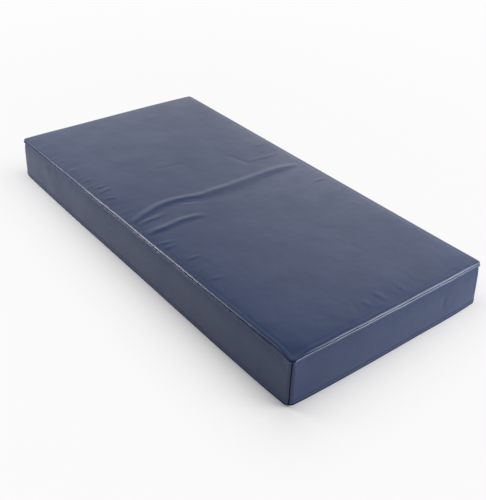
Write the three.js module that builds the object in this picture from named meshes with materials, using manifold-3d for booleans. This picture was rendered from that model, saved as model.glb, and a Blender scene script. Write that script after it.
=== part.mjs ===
// A foam mattress for a cot: one foam block in a coated-fabric cover. The cover is a top and a bottom panel
// sewn to upright borders, and it opens by a zip along the middle of its rear border.
//
// Millimetres. Length along X, width along Y, underside on z = 0, origin under the middle.
// The front is -Y and the zip is on +Y.
import * as THREE from "three";
import { mergeVertices } from "three/addons/utils/BufferGeometryUtils.js";
import Module from "manifold-3d";

const wasm = await Module();
wasm.setup();

// Mattress
const mattressLength = 1200;
const mattressWidth = 600;
const edgeHeight = 123.5;
const crownRise = 3;
const cornerRadius = 16;

// How far the walls swell out (or, below zero, are drawn in) midway along each side
const frontFootSwell = 4;
const frontHeadSwell = -5;
const rightFootSwell = 4;
const rightHeadSwell = 3;
const leftFootSwell = 4;
const leftHeadSwell = 6;
const wallBulge = 1.5;

// Cover
const coverThickness = 0.8;
const topRollRadius = 5;
const footRollRadius = 5;
const seamNip = 1;
const seamAllowance = 10;
const hemProud = 0.5;
const hemStep = 1.5;
const clearance = 0.3;

// Creases left in the top panel where the mattress has been folded in half
const creaseRise = 3;
const creaseHalfWidth = 11;

// Zip
const rearEndLength = 55;
const zipWindow = 10;
const zipHem = 12;
const tapeWidth = 16;
const tapeThickness = 0.6;
const tapeTail = 6;
const coilWidth = 2.6;
const coilHeight = 2;
const coilChamfer = 0.7;
const chainSlot = 1.2;
const stopLength = 4;
const stopProud = 0.3;
const stopInset = 4.7;

// Zip slider
const sliderLength = 10;
const sliderNose = 3;
const sliderPlate = 1;
const sliderBackPlate = 0.8;
const sliderFlange = 0.7;
const sliderFlangeDrop = 2;
const bridgeOpening = 2.4;
const bridgeSpan = 4.4;
const bridgeBar = 0.9;
const bridgeWidth = 1.6;

// Pull tab
const tabLength = 28;
const tabWidth = 6.4;
const tabTipWidth = 5;
const tabThickness = 1.2;
const tabBar = 1.3;
const tabPlay = 0.4;
const tabCorner = 1.2;

// Faces in the round corners and along the walls
const cornerSteps = 4;
const longWallSteps = 8;
const shortWallSteps = 6;
const bottomColumns = 12;
const bottomRows = 8;
const crownPower = 5;

// Places along each crease: share of the half width, share of the half length, share of the full rise
const mainCreaseShares = [
  [-1, -0.05, 0], [-0.9, -0.066, 0.8], [-0.77, -0.087, 1], [-0.58, -0.112, 1], [-0.42, -0.109, 1],
  [-0.25, -0.088, 0.9], [0.05, -0.079, 0.9], [0.3, -0.082, 0.9], [0.55, -0.084, 0.8], [0.8, -0.08, 0.7],
  [1, -0.06, 0],
];
const middleCreaseShares = [
  [-1, -0.01, 0], [-0.9, -0.017, 0.6], [-0.77, -0.022, 0.5], [-0.58, -0.03, 0], [1, 0.012, 0],
];
const rightCreaseShares = [
  [-1, 0.076, 0], [-0.9, 0.067, 0.8], [-0.7, 0.061, 0.9], [-0.5, 0.064, 0.6], [-0.3, 0.078, 0.2],
  [-0.1, 0.08, 0], [1, 0.08, 0],
];

// Lines of the top panel's mesh: shares of the half length beside the creases, and of the half width
const leftLineShares = [-1, -0.82, -0.62, -0.42, -0.26, -0.19];
const rightLineShares = [0.12, 0.2, 0.36, 0.56, 0.79, 1];
const rowShares = [-1, -0.9, -0.77, -0.58, -0.42, -0.25, 0.05, 0.3, 0.55, 0.8, 1];

// Sizes that follow from those
const coreHalfLength = mattressLength / 2 - cornerRadius;
const coreHalfWidth = mattressWidth / 2 - cornerRadius;
const seamHigh = edgeHeight - topRollRadius - seamNip;
const seamLow = footRollRadius + seamNip;
const zipHeight = (seamHigh + seamLow) / 2;
const zipPanelHalfLength = mattressLength / 2 - rearEndLength;
const coilHalfLength = zipPanelHalfLength - stopInset - stopLength - clearance;
const hemBack = 2 * coverThickness - hemProud;
const allowanceFront = hemBack + clearance;
const allowanceBack = allowanceFront + coverThickness;
const foamBesideSeam = allowanceBack + clearance;
const foamBesideBorder = hemBack + clearance;

// Depths behind the rear face, from the strips' hems in to the foam
const tapeFront = 2 * coverThickness + clearance;
const tapeBack = tapeFront + tapeThickness;
const sliderBackFront = tapeBack + clearance;
const sliderBackBack = sliderBackFront + sliderBackPlate;
const foamBesideZip = sliderBackBack + clearance;

const foam = new THREE.MeshStandardMaterial({ color: 0xe6dfc4, roughness: 0.95, metalness: 0 });
const coatedFabric = new THREE.MeshStandardMaterial({ color: 0x1b2a52, roughness: 0.42, metalness: 0 });
const zipTape = new THREE.MeshStandardMaterial({ color: 0x11182c, roughness: 0.85, metalness: 0 });
const coilPlastic = new THREE.MeshStandardMaterial({ color: 0x141c33, roughness: 0.45, metalness: 0 });
const zipMetal = new THREE.MeshStandardMaterial({ color: 0x9a9da3, roughness: 0.3, metalness: 1 });

// The four sides, anticlockwise from above
const longSide = { half: coreHalfLength, away: coreHalfWidth, bulge: wallBulge };
const shortSide = { half: coreHalfWidth, away: coreHalfLength, bulge: wallBulge };
const sides = {
  front: { ...longSide, before: "left", out: -90, foot: frontFootSwell, head: frontHeadSwell },
  right: { ...shortSide, before: "front", out: 0, foot: rightFootSwell, head: rightHeadSwell },
  rear: { ...longSide, before: "right", out: 90, foot: 0, head: 0, bulge: 0 },
  left: { ...shortSide, before: "rear", out: 180, foot: leftFootSwell, head: leftHeadSwell },
};

function direction(degrees) {
  const angle = THREE.MathUtils.degToRad(degrees);
  return new THREE.Vector2(Math.cos(angle), Math.sin(angle));
}

// A station is a place on the outline: the point of the core rectangle behind it, and the way out from there.
function sideStation(name, along) {
  const side = sides[name];
  const out = direction(side.out);
  const run = direction(side.out + 90);
  const core = out.clone().multiplyScalar(side.away).addScaledVector(run, along * side.half);
  return { core, out, run, side, along };
}

// The round corner that follows a side, from step 0 at that side to cornerSteps at the next
function cornerStation(name, step) {
  const end = sideStation(name, 1);
  const angle = end.side.out + (90 * step) / cornerSteps;
  return { ...end, out: direction(angle), run: direction(angle + 90) };
}

// How far the wall stands out from the plain outline at a station and a height
function swellAt(station, z) {
  const { side, along } = station;
  const rise = THREE.MathUtils.clamp((z - seamLow) / (seamHigh - seamLow), 0, 1);
  const swell = THREE.MathUtils.lerp(side.foot, side.head, rise) + side.bulge * Math.sin(Math.PI * rise);
  return swell * (1 - along * along);
}

// A point at a depth behind the swollen wall, moved along the outline by a slip
function wallPoint(station, depth, z, slip = 0) {
  const reach = cornerRadius - depth + swellAt(station, z);
  const place = station.core.clone().addScaledVector(station.out, reach).addScaledVector(station.run, slip);
  return [place.x, place.y, z];
}

// Makes one closed solid of a list of triangles' corners. Corners that meet become one.
function closedSolid(corners) {
  const loose = new THREE.BufferGeometry();
  loose.setAttribute("position", new THREE.Float32BufferAttribute(corners.flat(), 3));
  const merged = mergeVertices(loose);
  const index = merged.getIndex().array;
  const kept = [];
  for (let i = 0; i < index.length; i += 3) {
    const [a, b, c] = index.slice(i, i + 3);
    if (a !== b && b !== c && c !== a) kept.push(a, b, c);
  }
  merged.setIndex(kept);
  return merged;
}

function addQuad(corners, a, b, c, d) {
  corners.push(a, b, c, a, c, d);
}

// Joins two rings of points with a band. Seen from outside, the second ring is below the first.
function addBand(corners, upper, lower) {
  upper.forEach((point, i) => {
    const next = (i + 1) % upper.length;
    addQuad(corners, point, lower[i], lower[next], upper[next]);
  });
}

// Adds the face that a mesh of lines and rows spans at a height that depends on the place
function addField(corners, lines, rows, heightAt, facesUp) {
  const at = (line, y) => [line(y), y, heightAt(line(y), y)];
  for (let i = 0; i + 1 < lines.length; i += 1) {
    for (let j = 0; j + 1 < rows.length; j += 1) {
      const near = [at(lines[i], rows[j]), at(lines[i + 1], rows[j])];
      const far = [at(lines[i], rows[j + 1]), at(lines[i + 1], rows[j + 1])];
      if (facesUp) addQuad(corners, near[0], near[1], far[1], far[0]);
      else addQuad(corners, near[0], far[0], far[1], near[1]);
    }
  }
}

// All stations round the outline, with one at each end of every line and row of the field
function stationsRound(lines, rows) {
  const along = {
    front: lines.map((line) => line(rows[0]) / coreHalfLength),
    right: rows.map((y) => y / coreHalfWidth),
    rear: lines.map((line) => -line(rows.at(-1)) / coreHalfLength).reverse(),
    left: rows.map((y) => -y / coreHalfWidth).reverse(),
  };
  return Object.entries(along).flatMap(([name, shares]) => {
    const stations = shares.map((share) => sideStation(name, share));
    for (let step = 1; step < cornerSteps; step += 1) stations.push(cornerStation(name, step));
    return stations;
  });
}

// The edge points of a field, one for each station, so a corner point stands there more than once
function rimOf(lines, rows, heightAt) {
  const at = (line, y) => [line(y), y, heightAt(line(y), y)];
  const edges = [
    lines.map((line) => at(line, rows[0])),
    rows.map((y) => at(lines.at(-1), y)),
    lines.map((line) => at(line, rows.at(-1))).reverse(),
    rows.map((y) => at(lines[0], y)).reverse(),
  ];
  return edges.flatMap((edge) => [...edge, ...Array(cornerSteps - 1).fill(edge.at(-1))]);
}

// A flat soft piece: an upper and a lower field, joined by rings that are given as depth and height
function softPiece(lines, rows, upperAt, rings, lowerAt) {
  const stations = stationsRound(lines, rows);
  const loops = [
    rimOf(lines, rows, upperAt),
    ...rings.map(([depth, z]) => stations.map((station) => {
      const own = typeof depth === "function" ? depth(station) : depth;
      return wallPoint(station, own, z);
    })),
    rimOf(lines, rows, lowerAt),
  ];
  const corners = [];
  addField(corners, lines, rows, upperAt, true);
  for (let i = 0; i + 1 < loops.length; i += 1) addBand(corners, loops[i], loops[i + 1]);
  addField(corners, lines, rows, lowerAt, false);
  return closedSolid(corners);
}

// Where a crease runs at a width y, and how much of its full rise it has there
function creaseAt(shares, y) {
  const share = THREE.MathUtils.clamp(y / coreHalfWidth, -1, 1);
  const after = Math.max(1, shares.findIndex(([place]) => place >= share));
  const [from, to] = [shares[after - 1], shares[after]];
  const part = (share - from[0]) / (to[0] - from[0]);
  return {
    x: THREE.MathUtils.lerp(from[1], to[1], part) * coreHalfLength,
    rise: THREE.MathUtils.lerp(from[2], to[2], part) * creaseRise,
  };
}

const creases = [mainCreaseShares, middleCreaseShares, rightCreaseShares];

function crownAt(x, y) {
  const acrossLength = 1 - Math.abs(x / coreHalfLength) ** crownPower;
  const acrossWidth = 1 - Math.abs(y / coreHalfWidth) ** crownPower;
  return crownRise * acrossLength * acrossWidth;
}

function creaseLift(x, y) {
  return creases.reduce((lift, shares) => {
    const crease = creaseAt(shares, y);
    const away = Math.min(1, Math.abs(x - crease.x) / creaseHalfWidth);
    return lift + crease.rise * Math.cos((away * Math.PI) / 2) ** 2;
  }, 0);
}

const topAt = (x, y) => edgeHeight + crownAt(x, y) + creaseLift(x, y);

// The top's mesh lines: plain ones left and right, and a foot, a ridge and a foot along each crease
const plainLines = (shares) => shares.map((share) => () => share * coreHalfLength);
const creaseLines = creases.flatMap((shares) => [-1, 0, 1].map((foot) => {
  return (y) => creaseAt(shares, y).x + foot * creaseHalfWidth;
}));
const topLines = [...plainLines(leftLineShares), ...creaseLines, ...plainLines(rightLineShares)];
const topRows = rowShares.map((share) => share * coreHalfWidth);

const evenShares = (count) => Array.from({ length: count + 1 }, (_, i) => (2 * i) / count - 1);
const bottomLines = plainLines(evenShares(bottomColumns));
const bottomLineRows = evenShares(bottomRows).map((share) => share * coreHalfWidth);

// The middle of a quarter-round edge, as its share of the radius from each flat
const eased = 1 - Math.SQRT1_2;

// Top panel: over the rolled edge, in at the seam, and down behind the border as the seam allowance
function topPanel() {
  const rollEnd = edgeHeight - topRollRadius;
  const rings = [
    [topRollRadius, edgeHeight],
    [topRollRadius * eased, edgeHeight - topRollRadius * eased],
    [0, rollEnd],
    [allowanceFront, seamHigh + clearance / 2],
    [allowanceFront, seamHigh - seamAllowance],
    [allowanceBack, seamHigh - seamAllowance],
    [allowanceBack, rollEnd],
    [topRollRadius, edgeHeight - coverThickness],
  ];
  return softPiece(topLines, topRows, topAt, rings, (x, y) => topAt(x, y) - coverThickness);
}

// Bottom panel: the same the other way up, and flat where it lies on its base
function bottomPanel() {
  const rings = [
    [footRollRadius, coverThickness],
    [allowanceBack, footRollRadius],
    [allowanceBack, seamLow + seamAllowance],
    [allowanceFront, seamLow + seamAllowance],
    [allowanceFront, seamLow - clearance / 2],
    [0, footRollRadius],
    [footRollRadius * eased, footRollRadius * eased],
    [footRollRadius, 0],
  ];
  return softPiece(bottomLines, bottomLineRows, () => coverThickness, rings, () => 0);
}

// Foam core: fills the cover, eased in beside the seam allowances and behind the zip
function foamCore() {
  const beside = (station) => (station.out.y === 1 ? foamBesideZip : foamBesideBorder);
  const seamReach = seamAllowance + clearance;
  const inset = coverThickness + clearance;
  const rings = [
    [topRollRadius + clearance, edgeHeight - inset],
    [foamBesideSeam, edgeHeight - topRollRadius - clearance],
    [foamBesideSeam, seamHigh - seamReach],
    [beside, seamHigh - seamReach - hemStep],
    [beside, zipHeight],
    [beside, seamLow + seamReach + hemStep],
    [foamBesideSeam, seamLow + seamReach],
    [foamBesideSeam, footRollRadius + clearance],
    [footRollRadius + clearance, inset],
  ];
  const upperAt = (x, y) => edgeHeight + crownAt(x, y) - inset;
  return softPiece(topLines, topRows, upperAt, rings, () => inset);
}

// Cross-section of a border, from its lower seam up the face and back down inside: depth and height.
// A seam section is nipped in, a hem section is folded double, and an open one is a single layer.
function borderSection(kind) {
  const face = { seam: clearance, hem: -hemProud, open: 0 }[kind];
  const back = kind === "open" ? coverThickness : hemBack;
  const low = seamLow + clearance / 2;
  const high = seamHigh - clearance / 2;
  const hemLow = seamLow + seamAllowance;
  const hemHigh = seamHigh - seamAllowance;
  const proud = kind === "seam" ? face : -hemProud;
  const between = [1, 2, 3].map((quarter) => THREE.MathUtils.lerp(hemLow, hemHigh, quarter / 4));
  return [
    [clearance, low],
    [proud, low + hemStep],
    [proud, hemLow - hemStep],
    [face, hemLow + hemStep],
    ...between.map((z) => [face, z]),
    [face, hemHigh - hemStep],
    [proud, hemHigh + hemStep],
    [proud, high - hemStep],
    [clearance, high],
    [hemBack, high],
    [hemBack, hemHigh],
    [back, hemHigh - hemStep],
    ...between.toReversed().map((z) => [back, z]),
    [back, hemLow + hemStep],
    [hemBack, hemLow],
    [hemBack, low],
  ];
}

// Joins a row of sections, each a closed loop of points, and closes both ends
function loft(loops, endSection) {
  const corners = [];
  for (let i = 0; i + 1 < loops.length; i += 1) addBand(corners, loops[i], loops[i + 1]);
  const contour = endSection.map(([depth, z]) => new THREE.Vector2(depth, z));
  THREE.ShapeUtils.triangulateShape(contour, []).forEach((triangle) => {
    const clockwise = THREE.ShapeUtils.isClockWise(triangle.map((i) => contour[i]));
    const [a, b, c] = clockwise ? triangle : triangle.toReversed();
    corners.push(loops[0][a], loops[0][b], loops[0][c]);
    corners.push(loops.at(-1)[c], loops.at(-1)[b], loops.at(-1)[a]);
  });
  return closedSolid(corners);
}

function borderOf(places) {
  const loops = places.map(({ station, kind, slip }) => {
    return borderSection(kind).map(([depth, z]) => wallPoint(station, depth, z, slip));
  });
  return loft(loops, borderSection(places[0].kind));
}

// Half of the round corner after a side: from its upright seam to the next side, or from the side to the seam
function cornerRun(name, fromSeam) {
  const half = cornerSteps / 2;
  const places = [];
  for (let step = 1; step <= half; step += 1) {
    const kind = step === half ? "seam" : "hem";
    const slip = (kind === "seam" ? clearance / 2 : 0) * (fromSeam ? 1 : -1);
    const at = fromSeam ? cornerSteps - step : step;
    places.push({ station: cornerStation(name, at), kind, slip });
  }
  return fromSeam ? places.reverse() : places;
}

// A border along a whole side, from the upright seam at one corner to the one at the next
function sideBorder(name, steps) {
  const openShare = 1 - hemStep / sides[name].half;
  const along = (share, kind) => ({ station: sideStation(name, share), kind, slip: 0 });
  return borderOf([
    ...cornerRun(sides[name].before, true),
    along(-1, "hem"),
    ...evenShares(steps).map((share) => along(share * openShare, "open")),
    along(1, "hem"),
    ...cornerRun(name, false),
  ]);
}

// The plain piece of rear border between an end of the zip and the corner
function rearEndPiece(atRight) {
  const along = (x, kind) => {
    const share = (atRight ? -x : x) / coreHalfLength;
    return { station: sideStation("rear", share), kind, slip: 0 };
  };
  const places = [
    along(coreHalfLength, "hem"),
    along(coreHalfLength - hemStep, "open"),
    along(zipPanelHalfLength + seamAllowance + hemStep, "open"),
    along(zipPanelHalfLength + seamAllowance, "hem"),
    along(zipPanelHalfLength + hemStep, "hem"),
    along(zipPanelHalfLength + clearance / 2, "seam"),
  ];
  if (atRight) return borderOf([...cornerRun("right", true), ...places]);
  return borderOf([...places.toReversed(), ...cornerRun("rear", false)]);
}

// Turns that stand an outline up: drawn as (y, z) it runs along X, and drawn as (z, x) it runs along Y
const runsAlongX = new THREE.Matrix4().makeBasis(
  new THREE.Vector3(0, 1, 0), new THREE.Vector3(0, 0, 1), new THREE.Vector3(1, 0, 0),
);
const runsAlongY = new THREE.Matrix4().makeBasis(
  new THREE.Vector3(0, 0, 1), new THREE.Vector3(1, 0, 0), new THREE.Vector3(0, 1, 0),
);
const runsAlongZ = new THREE.Matrix4();

const shapeOf = (points) => new THREE.Shape(points.map(([u, v]) => new THREE.Vector2(u, v)));

function prism(shape, from, to, turn) {
  const geometry = new THREE.ExtrudeGeometry(shape, { depth: to - from, bevelEnabled: false });
  geometry.deleteAttribute("normal");
  geometry.deleteAttribute("uv");
  geometry.translate(0, 0, from);
  return mergeVertices(geometry).applyMatrix4(turn);
}

function asManifold(geometry) {
  return new wasm.Manifold(new wasm.Mesh({
    numProp: 3,
    vertProperties: new Float32Array(geometry.getAttribute("position").array),
    triVerts: new Uint32Array(geometry.getIndex().array),
  }));
}

function joined(geometries) {
  const whole = geometries.map(asManifold).reduce((sum, next) => sum.add(next)).getMesh();
  const geometry = new THREE.BufferGeometry();
  geometry.setAttribute("position", new THREE.BufferAttribute(whole.vertProperties, 3));
  geometry.setIndex(new THREE.BufferAttribute(whole.triVerts, 1));
  return geometry;
}

// In the zip's own frame, y is outwards from the rear face and z is up from the middle of the zip.

// What lies below the middle of the zip is what lies above it, turned over.
const flipped = (section, up) => shapeOf(section.map(([y, z]) => [y, up * z]));

// A strip beside the zip: its outer edge is sewn to a panel, and its inner edge is folded back under itself.
function zipStrip(up) {
  const edge = zipWindow / 2;
  const seam = seamHigh - zipHeight - clearance / 2;
  const hem = seamHigh - zipHeight - seamAllowance;
  const section = [
    [0, edge],
    [0, hem - hemStep],
    [hemProud, hem + hemStep],
    [hemProud, seam - hemStep],
    [-clearance, seam],
    [-hemBack, seam],
    [-hemBack, hem],
    [-coverThickness, hem - hemStep],
    [-coverThickness, edge + zipHem + hemStep],
    [-2 * coverThickness, edge + zipHem],
    [-2 * coverThickness, edge],
  ];
  const end = zipPanelHalfLength - clearance / 2;
  return prism(flipped(section, up), -end, end, runsAlongX);
}

function zipTapeHalf(up) {
  const end = zipPanelHalfLength + tapeTail;
  const edge = chainSlot / 2;
  const section = [
    [-tapeBack, edge],
    [-tapeFront, edge],
    [-tapeFront, edge + tapeWidth],
    [-tapeBack, edge + tapeWidth],
  ];
  return prism(flipped(section, up), -end, end, runsAlongX);
}

const coilBack = clearance - tapeFront;
const coilFront = coilBack + coilHeight;

function coilHalf(up) {
  const near = chainSlot / 2;
  const far = near + coilWidth;
  const section = [
    [coilBack, near],
    [coilFront, near],
    [coilFront, far - coilChamfer],
    [coilFront - coilChamfer, far],
    [coilBack, far],
  ];
  return prism(flipped(section, up), -coilHalfLength, coilHalfLength, runsAlongX);
}

// A stop clamped over both coils at an end of the chain
function zipStop(end) {
  const half = chainSlot / 2 + coilWidth;
  const front = coilFront + stopProud;
  const section = [
    [coilBack, -half],
    [front - coilChamfer, -half],
    [front, coilChamfer - half],
    [front, half - coilChamfer],
    [front - coilChamfer, half],
    [coilBack, half],
  ];
  const from = coilHalfLength + clearance;
  if (end > 0) return prism(shapeOf(section), from, from + stopLength, runsAlongX);
  return prism(shapeOf(section), -from - stopLength, -from, runsAlongX);
}

const sliderFront = coilFront + clearance + sliderPlate;
const sliderHalfWidth = chainSlot / 2 + coilWidth + clearance + sliderFlange;
const pivotOut = sliderFront + bridgeOpening / 2;

// Slider: a plate over the coils and one under the tapes, joined by a web through the chain, with a flange
// beside each coil and a bridge on top for the pull tab
function slider() {
  const half = sliderLength / 2;
  const web = chainSlot / 2 - clearance;
  const waist = half - sliderNose;
  const plan = (width) => shapeOf([
    [-width, -half],
    [width, -half],
    [width, waist],
    [width - sliderNose / 2, half],
    [sliderNose / 2 - width, half],
    [-width, waist],
  ]);
  const plate = prism(plan(sliderHalfWidth), coilFront + clearance, sliderFront, runsAlongY);
  const near = sliderHalfWidth - sliderFlange;
  const backPlate = prism(plan(near), -sliderBackBack, -sliderBackFront, runsAlongY);
  const webSection = [
    [-sliderBackBack, -web],
    [sliderFront, -web],
    [sliderFront, web],
    [-sliderBackBack, web],
  ];
  const webPlate = prism(shapeOf(webSection), -half, waist, runsAlongX);
  const flanges = [-1, 1].map((up) => {
    const foot = coilFront + clearance - sliderFlangeDrop;
    const section = [
      [foot, near],
      [sliderFront, near],
      [sliderFront, sliderHalfWidth],
      [foot, sliderHalfWidth],
    ];
    return prism(flipped(section, up), -half, waist, runsAlongX);
  });
  const inner = bridgeSpan / 2;
  const outer = inner + bridgeBar;
  const top = sliderFront + bridgeOpening + bridgeBar;
  const root = sliderFront - sliderPlate / 2;
  const bridge = [
    [-outer, root],
    [-inner, root],
    [-inner, top - bridgeBar],
    [inner, top - bridgeBar],
    [inner, root],
    [outer, root],
    [outer, top - bridgeBar],
    [inner, top],
    [-inner, top],
    [-outer, top - bridgeBar],
  ];
  const arch = prism(shapeOf(bridge), -bridgeWidth / 2, bridgeWidth / 2, runsAlongZ);
  return joined([plate, backPlate, webPlate, ...flanges, arch]);
}

// Pull tab, lying along the chain: its eye is a slot round the bridge, closed by a bar that turns under it
function pullTab() {
  const lead = tabBar / 2;
  const half = tabWidth / 2;
  const tip = tabTipWidth / 2;
  const outline = new THREE.Shape();
  outline.moveTo(tabCorner - half, lead);
  outline.lineTo(half - tabCorner, lead);
  outline.quadraticCurveTo(half, lead, half, lead - tabCorner);
  outline.lineTo(tip, tabCorner - tabLength);
  outline.quadraticCurveTo(tip, -tabLength, tip - tabCorner, -tabLength);
  outline.lineTo(tabCorner - tip, -tabLength);
  outline.quadraticCurveTo(-tip, -tabLength, -tip, tabCorner - tabLength);
  outline.lineTo(-half, lead - tabCorner);
  outline.quadraticCurveTo(-half, lead, tabCorner - half, lead);
  const eyeHalf = bridgeWidth / 2 + tabPlay;
  const bridgeReach = Math.hypot(bridgeSpan / 2 + bridgeBar, bridgeOpening / 2 + bridgeBar);
  const eyeEnd = -(bridgeReach + tabPlay);
  const eye = new THREE.Path([
    new THREE.Vector2(-eyeHalf, -lead),
    new THREE.Vector2(-eyeHalf, eyeEnd),
    new THREE.Vector2(eyeHalf, eyeEnd),
    new THREE.Vector2(eyeHalf, -lead),
  ]);
  outline.holes.push(eye);
  return prism(outline, -tabThickness / 2, tabThickness / 2, runsAlongY);
}

function piece(name, geometry, material, parent) {
  const mesh = new THREE.Mesh(geometry, material);
  mesh.name = name;
  parent.add(mesh);
  return mesh;
}

const mattress = new THREE.Group();

piece("foam_core", foamCore(), foam, mattress);
piece("cover_top_panel", topPanel(), coatedFabric, mattress);
piece("cover_bottom_panel", bottomPanel(), coatedFabric, mattress);
piece("border_front", sideBorder("front", longWallSteps), coatedFabric, mattress);
piece("border_right", sideBorder("right", shortWallSteps), coatedFabric, mattress);
piece("border_left", sideBorder("left", shortWallSteps), coatedFabric, mattress);
piece("border_rear_right_end", rearEndPiece(true), coatedFabric, mattress);
piece("border_rear_left_end", rearEndPiece(false), coatedFabric, mattress);

// Everything of the zip hangs in one group on the middle of the rear face.
const zip = new THREE.Group();
zip.position.set(0, mattressWidth / 2, zipHeight);
mattress.add(zip);

piece("zip_strip_upper", zipStrip(1), coatedFabric, zip);
piece("zip_strip_lower", zipStrip(-1), coatedFabric, zip);
piece("zip_tape_upper", zipTapeHalf(1), zipTape, zip);
piece("zip_tape_lower", zipTapeHalf(-1), zipTape, zip);
piece("zip_coil_upper", coilHalf(1), coilPlastic, zip);
piece("zip_coil_lower", coilHalf(-1), coilPlastic, zip);
piece("zip_stop_closed_end", zipStop(1), zipMetal, zip);
piece("zip_stop_open_end", zipStop(-1), zipMetal, zip);

// The slider waits at the closed end, clear of its stop.
const sliderGroup = new THREE.Group();
sliderGroup.position.x = coilHalfLength - sliderLength / 2;
zip.add(sliderGroup);
piece("zip_slider", slider(), zipMetal, sliderGroup);
const tab = piece("zip_pull_tab", pullTab(), zipMetal, sliderGroup);
tab.position.y = pivotOut;

export default mattress;
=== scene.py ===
import math

import bpy
import numpy as np
from bpy.props import FloatProperty, FloatVectorProperty, PointerProperty
from mathutils import Matrix, Vector, noise


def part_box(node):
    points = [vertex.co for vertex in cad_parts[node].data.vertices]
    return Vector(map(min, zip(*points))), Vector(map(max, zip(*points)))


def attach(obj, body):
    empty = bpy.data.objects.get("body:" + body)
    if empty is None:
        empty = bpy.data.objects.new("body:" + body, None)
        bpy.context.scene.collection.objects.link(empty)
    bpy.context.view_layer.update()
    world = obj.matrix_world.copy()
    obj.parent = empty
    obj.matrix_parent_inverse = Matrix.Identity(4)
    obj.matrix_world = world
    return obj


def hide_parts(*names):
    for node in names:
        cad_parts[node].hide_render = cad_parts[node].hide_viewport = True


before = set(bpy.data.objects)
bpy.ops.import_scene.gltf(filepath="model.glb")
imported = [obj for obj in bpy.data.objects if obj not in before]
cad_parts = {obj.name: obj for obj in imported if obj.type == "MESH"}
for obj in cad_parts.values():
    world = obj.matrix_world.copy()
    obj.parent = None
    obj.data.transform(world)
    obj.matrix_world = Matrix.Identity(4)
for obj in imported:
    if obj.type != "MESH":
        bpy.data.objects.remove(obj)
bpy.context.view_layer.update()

bl_info = {
    "name": "Foam mattress",
    "version": (1, 0, 0),
    "blender": (4, 5, 0),
    "location": "3D View > Sidebar > Mattress",
    "description": "Builds a zipped foam mattress for a cot around its packed CAD frame",
    "category": "Add Mesh",
}

MM = 0.001

# Sizes that the CAD frame fixes, and how far the upper seam of the looks lies above the CAD's
CAD_CLEARANCE = 0.3 * MM
RIGHT_FOOT_SWELL = 4 * MM
HALF_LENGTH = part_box("cover_bottom_panel")[1].x - RIGHT_FOOT_SWELL
HALF_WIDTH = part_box("cover_top_panel")[1].y
SEAM_RISE = 2 * MM
SEAM_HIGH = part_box("zip_strip_upper")[1].z + CAD_CLEARANCE / 2 + SEAM_RISE
SEAM_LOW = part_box("zip_strip_lower")[0].z - CAD_CLEARANCE / 2
ZIP_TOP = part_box("zip_slider")[1].z + 4 * MM
ZIP_PANEL_HALF_LENGTH = (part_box("zip_strip_upper")[1].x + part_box("border_rear_right_end")[0].x) / 2

# The four sides, anticlockwise from above, with the direction that each faces
OUT_DEGREES = {"front": -90, "right": 0, "rear": 90, "left": 180}

# How far each wall stands out at its upper seam and at its foot: share of the half side, millimetres.
# They follow the photograph's outline. The CAD's walls differ from them at the right and left heads.
HEAD_SWELL = {
    "front": ((-1, -3), (-0.85, -2.5), (-0.7, -2.4), (-0.5, -3.2), (-0.3, -2.4), (-0.1, -4.4), (0.1, -4),
              (0.3, -5.5), (0.5, -5.5), (0.7, -6.6), (0.85, -7.4), (0.95, -8.2), (1, -6.5)),
    "right": ((-1, -6.5), (-0.92, -7.6), (-0.8, -6.8), (-0.7, -6), (-0.5, -6), (-0.3, -4.8), (-0.1, -4.9),
              (0.1, -4.6), (0.3, -5.2), (0.5, -5.4), (0.7, -5.6), (0.85, -6.2), (1, -6.3)),
    "rear": ((-1, -6.3), (-0.85, -7.5), (-0.6, -7.8), (0, -7.5), (1, -6.5)),
    "left": ((-1, -6.5), (-0.5, -3.5), (0, -3), (0.5, -3.5), (1, -3)),
}
FOOT_SWELL = {
    "front": ((-1, 1), (-0.85, 2.8), (-0.6, 4), (-0.2, 3.7), (0.1, 3.5), (0.3, 3.8), (0.5, 3.9), (0.7, 3.6),
              (0.85, 2.7), (0.94, 1.4), (1, 0)),
    "right": ((-1, 0), (-0.9, 1.5), (-0.7, 3), (-0.5, 3.9), (0, 4.4), (0.3, 4), (0.5, 4.3), (0.8, 3.6),
              (1, 1.2)),
    "rear": ((-1, 1.2), (-0.96, 0.5), (-0.92, 0), (-0.88, 0), (1, 0)),
    "left": ((-1, 0), (-0.5, 3), (0, 4), (0.5, 3), (1, 1)),
}
# The zip's tapes stand apart to let the slider's web through. The foam behind that gap is darkened over
# this half width, so that it doesn't show between the coils as a pale line.
GAP_SHADE = 3 * MM
# Depth of the foam's rear wall over which that shade sets in
GAP_SHADE_DEPTH = (30 * MM, 20 * MM)
# Distance over which the cover follows the wall beside it
FOLLOWING = 120 * MM
# How far the rounded corners are drawn out to a point at the upper seam and at the foot
CORNER_HEAD = 2.6 * MM
CORNER_FOOT = -1.5 * MM
# How far the walls stand out half way up, in millimetres
WALL_BULGE = {"front": 1.5, "right": 1.5, "rear": 0, "left": 1.5}

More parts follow.
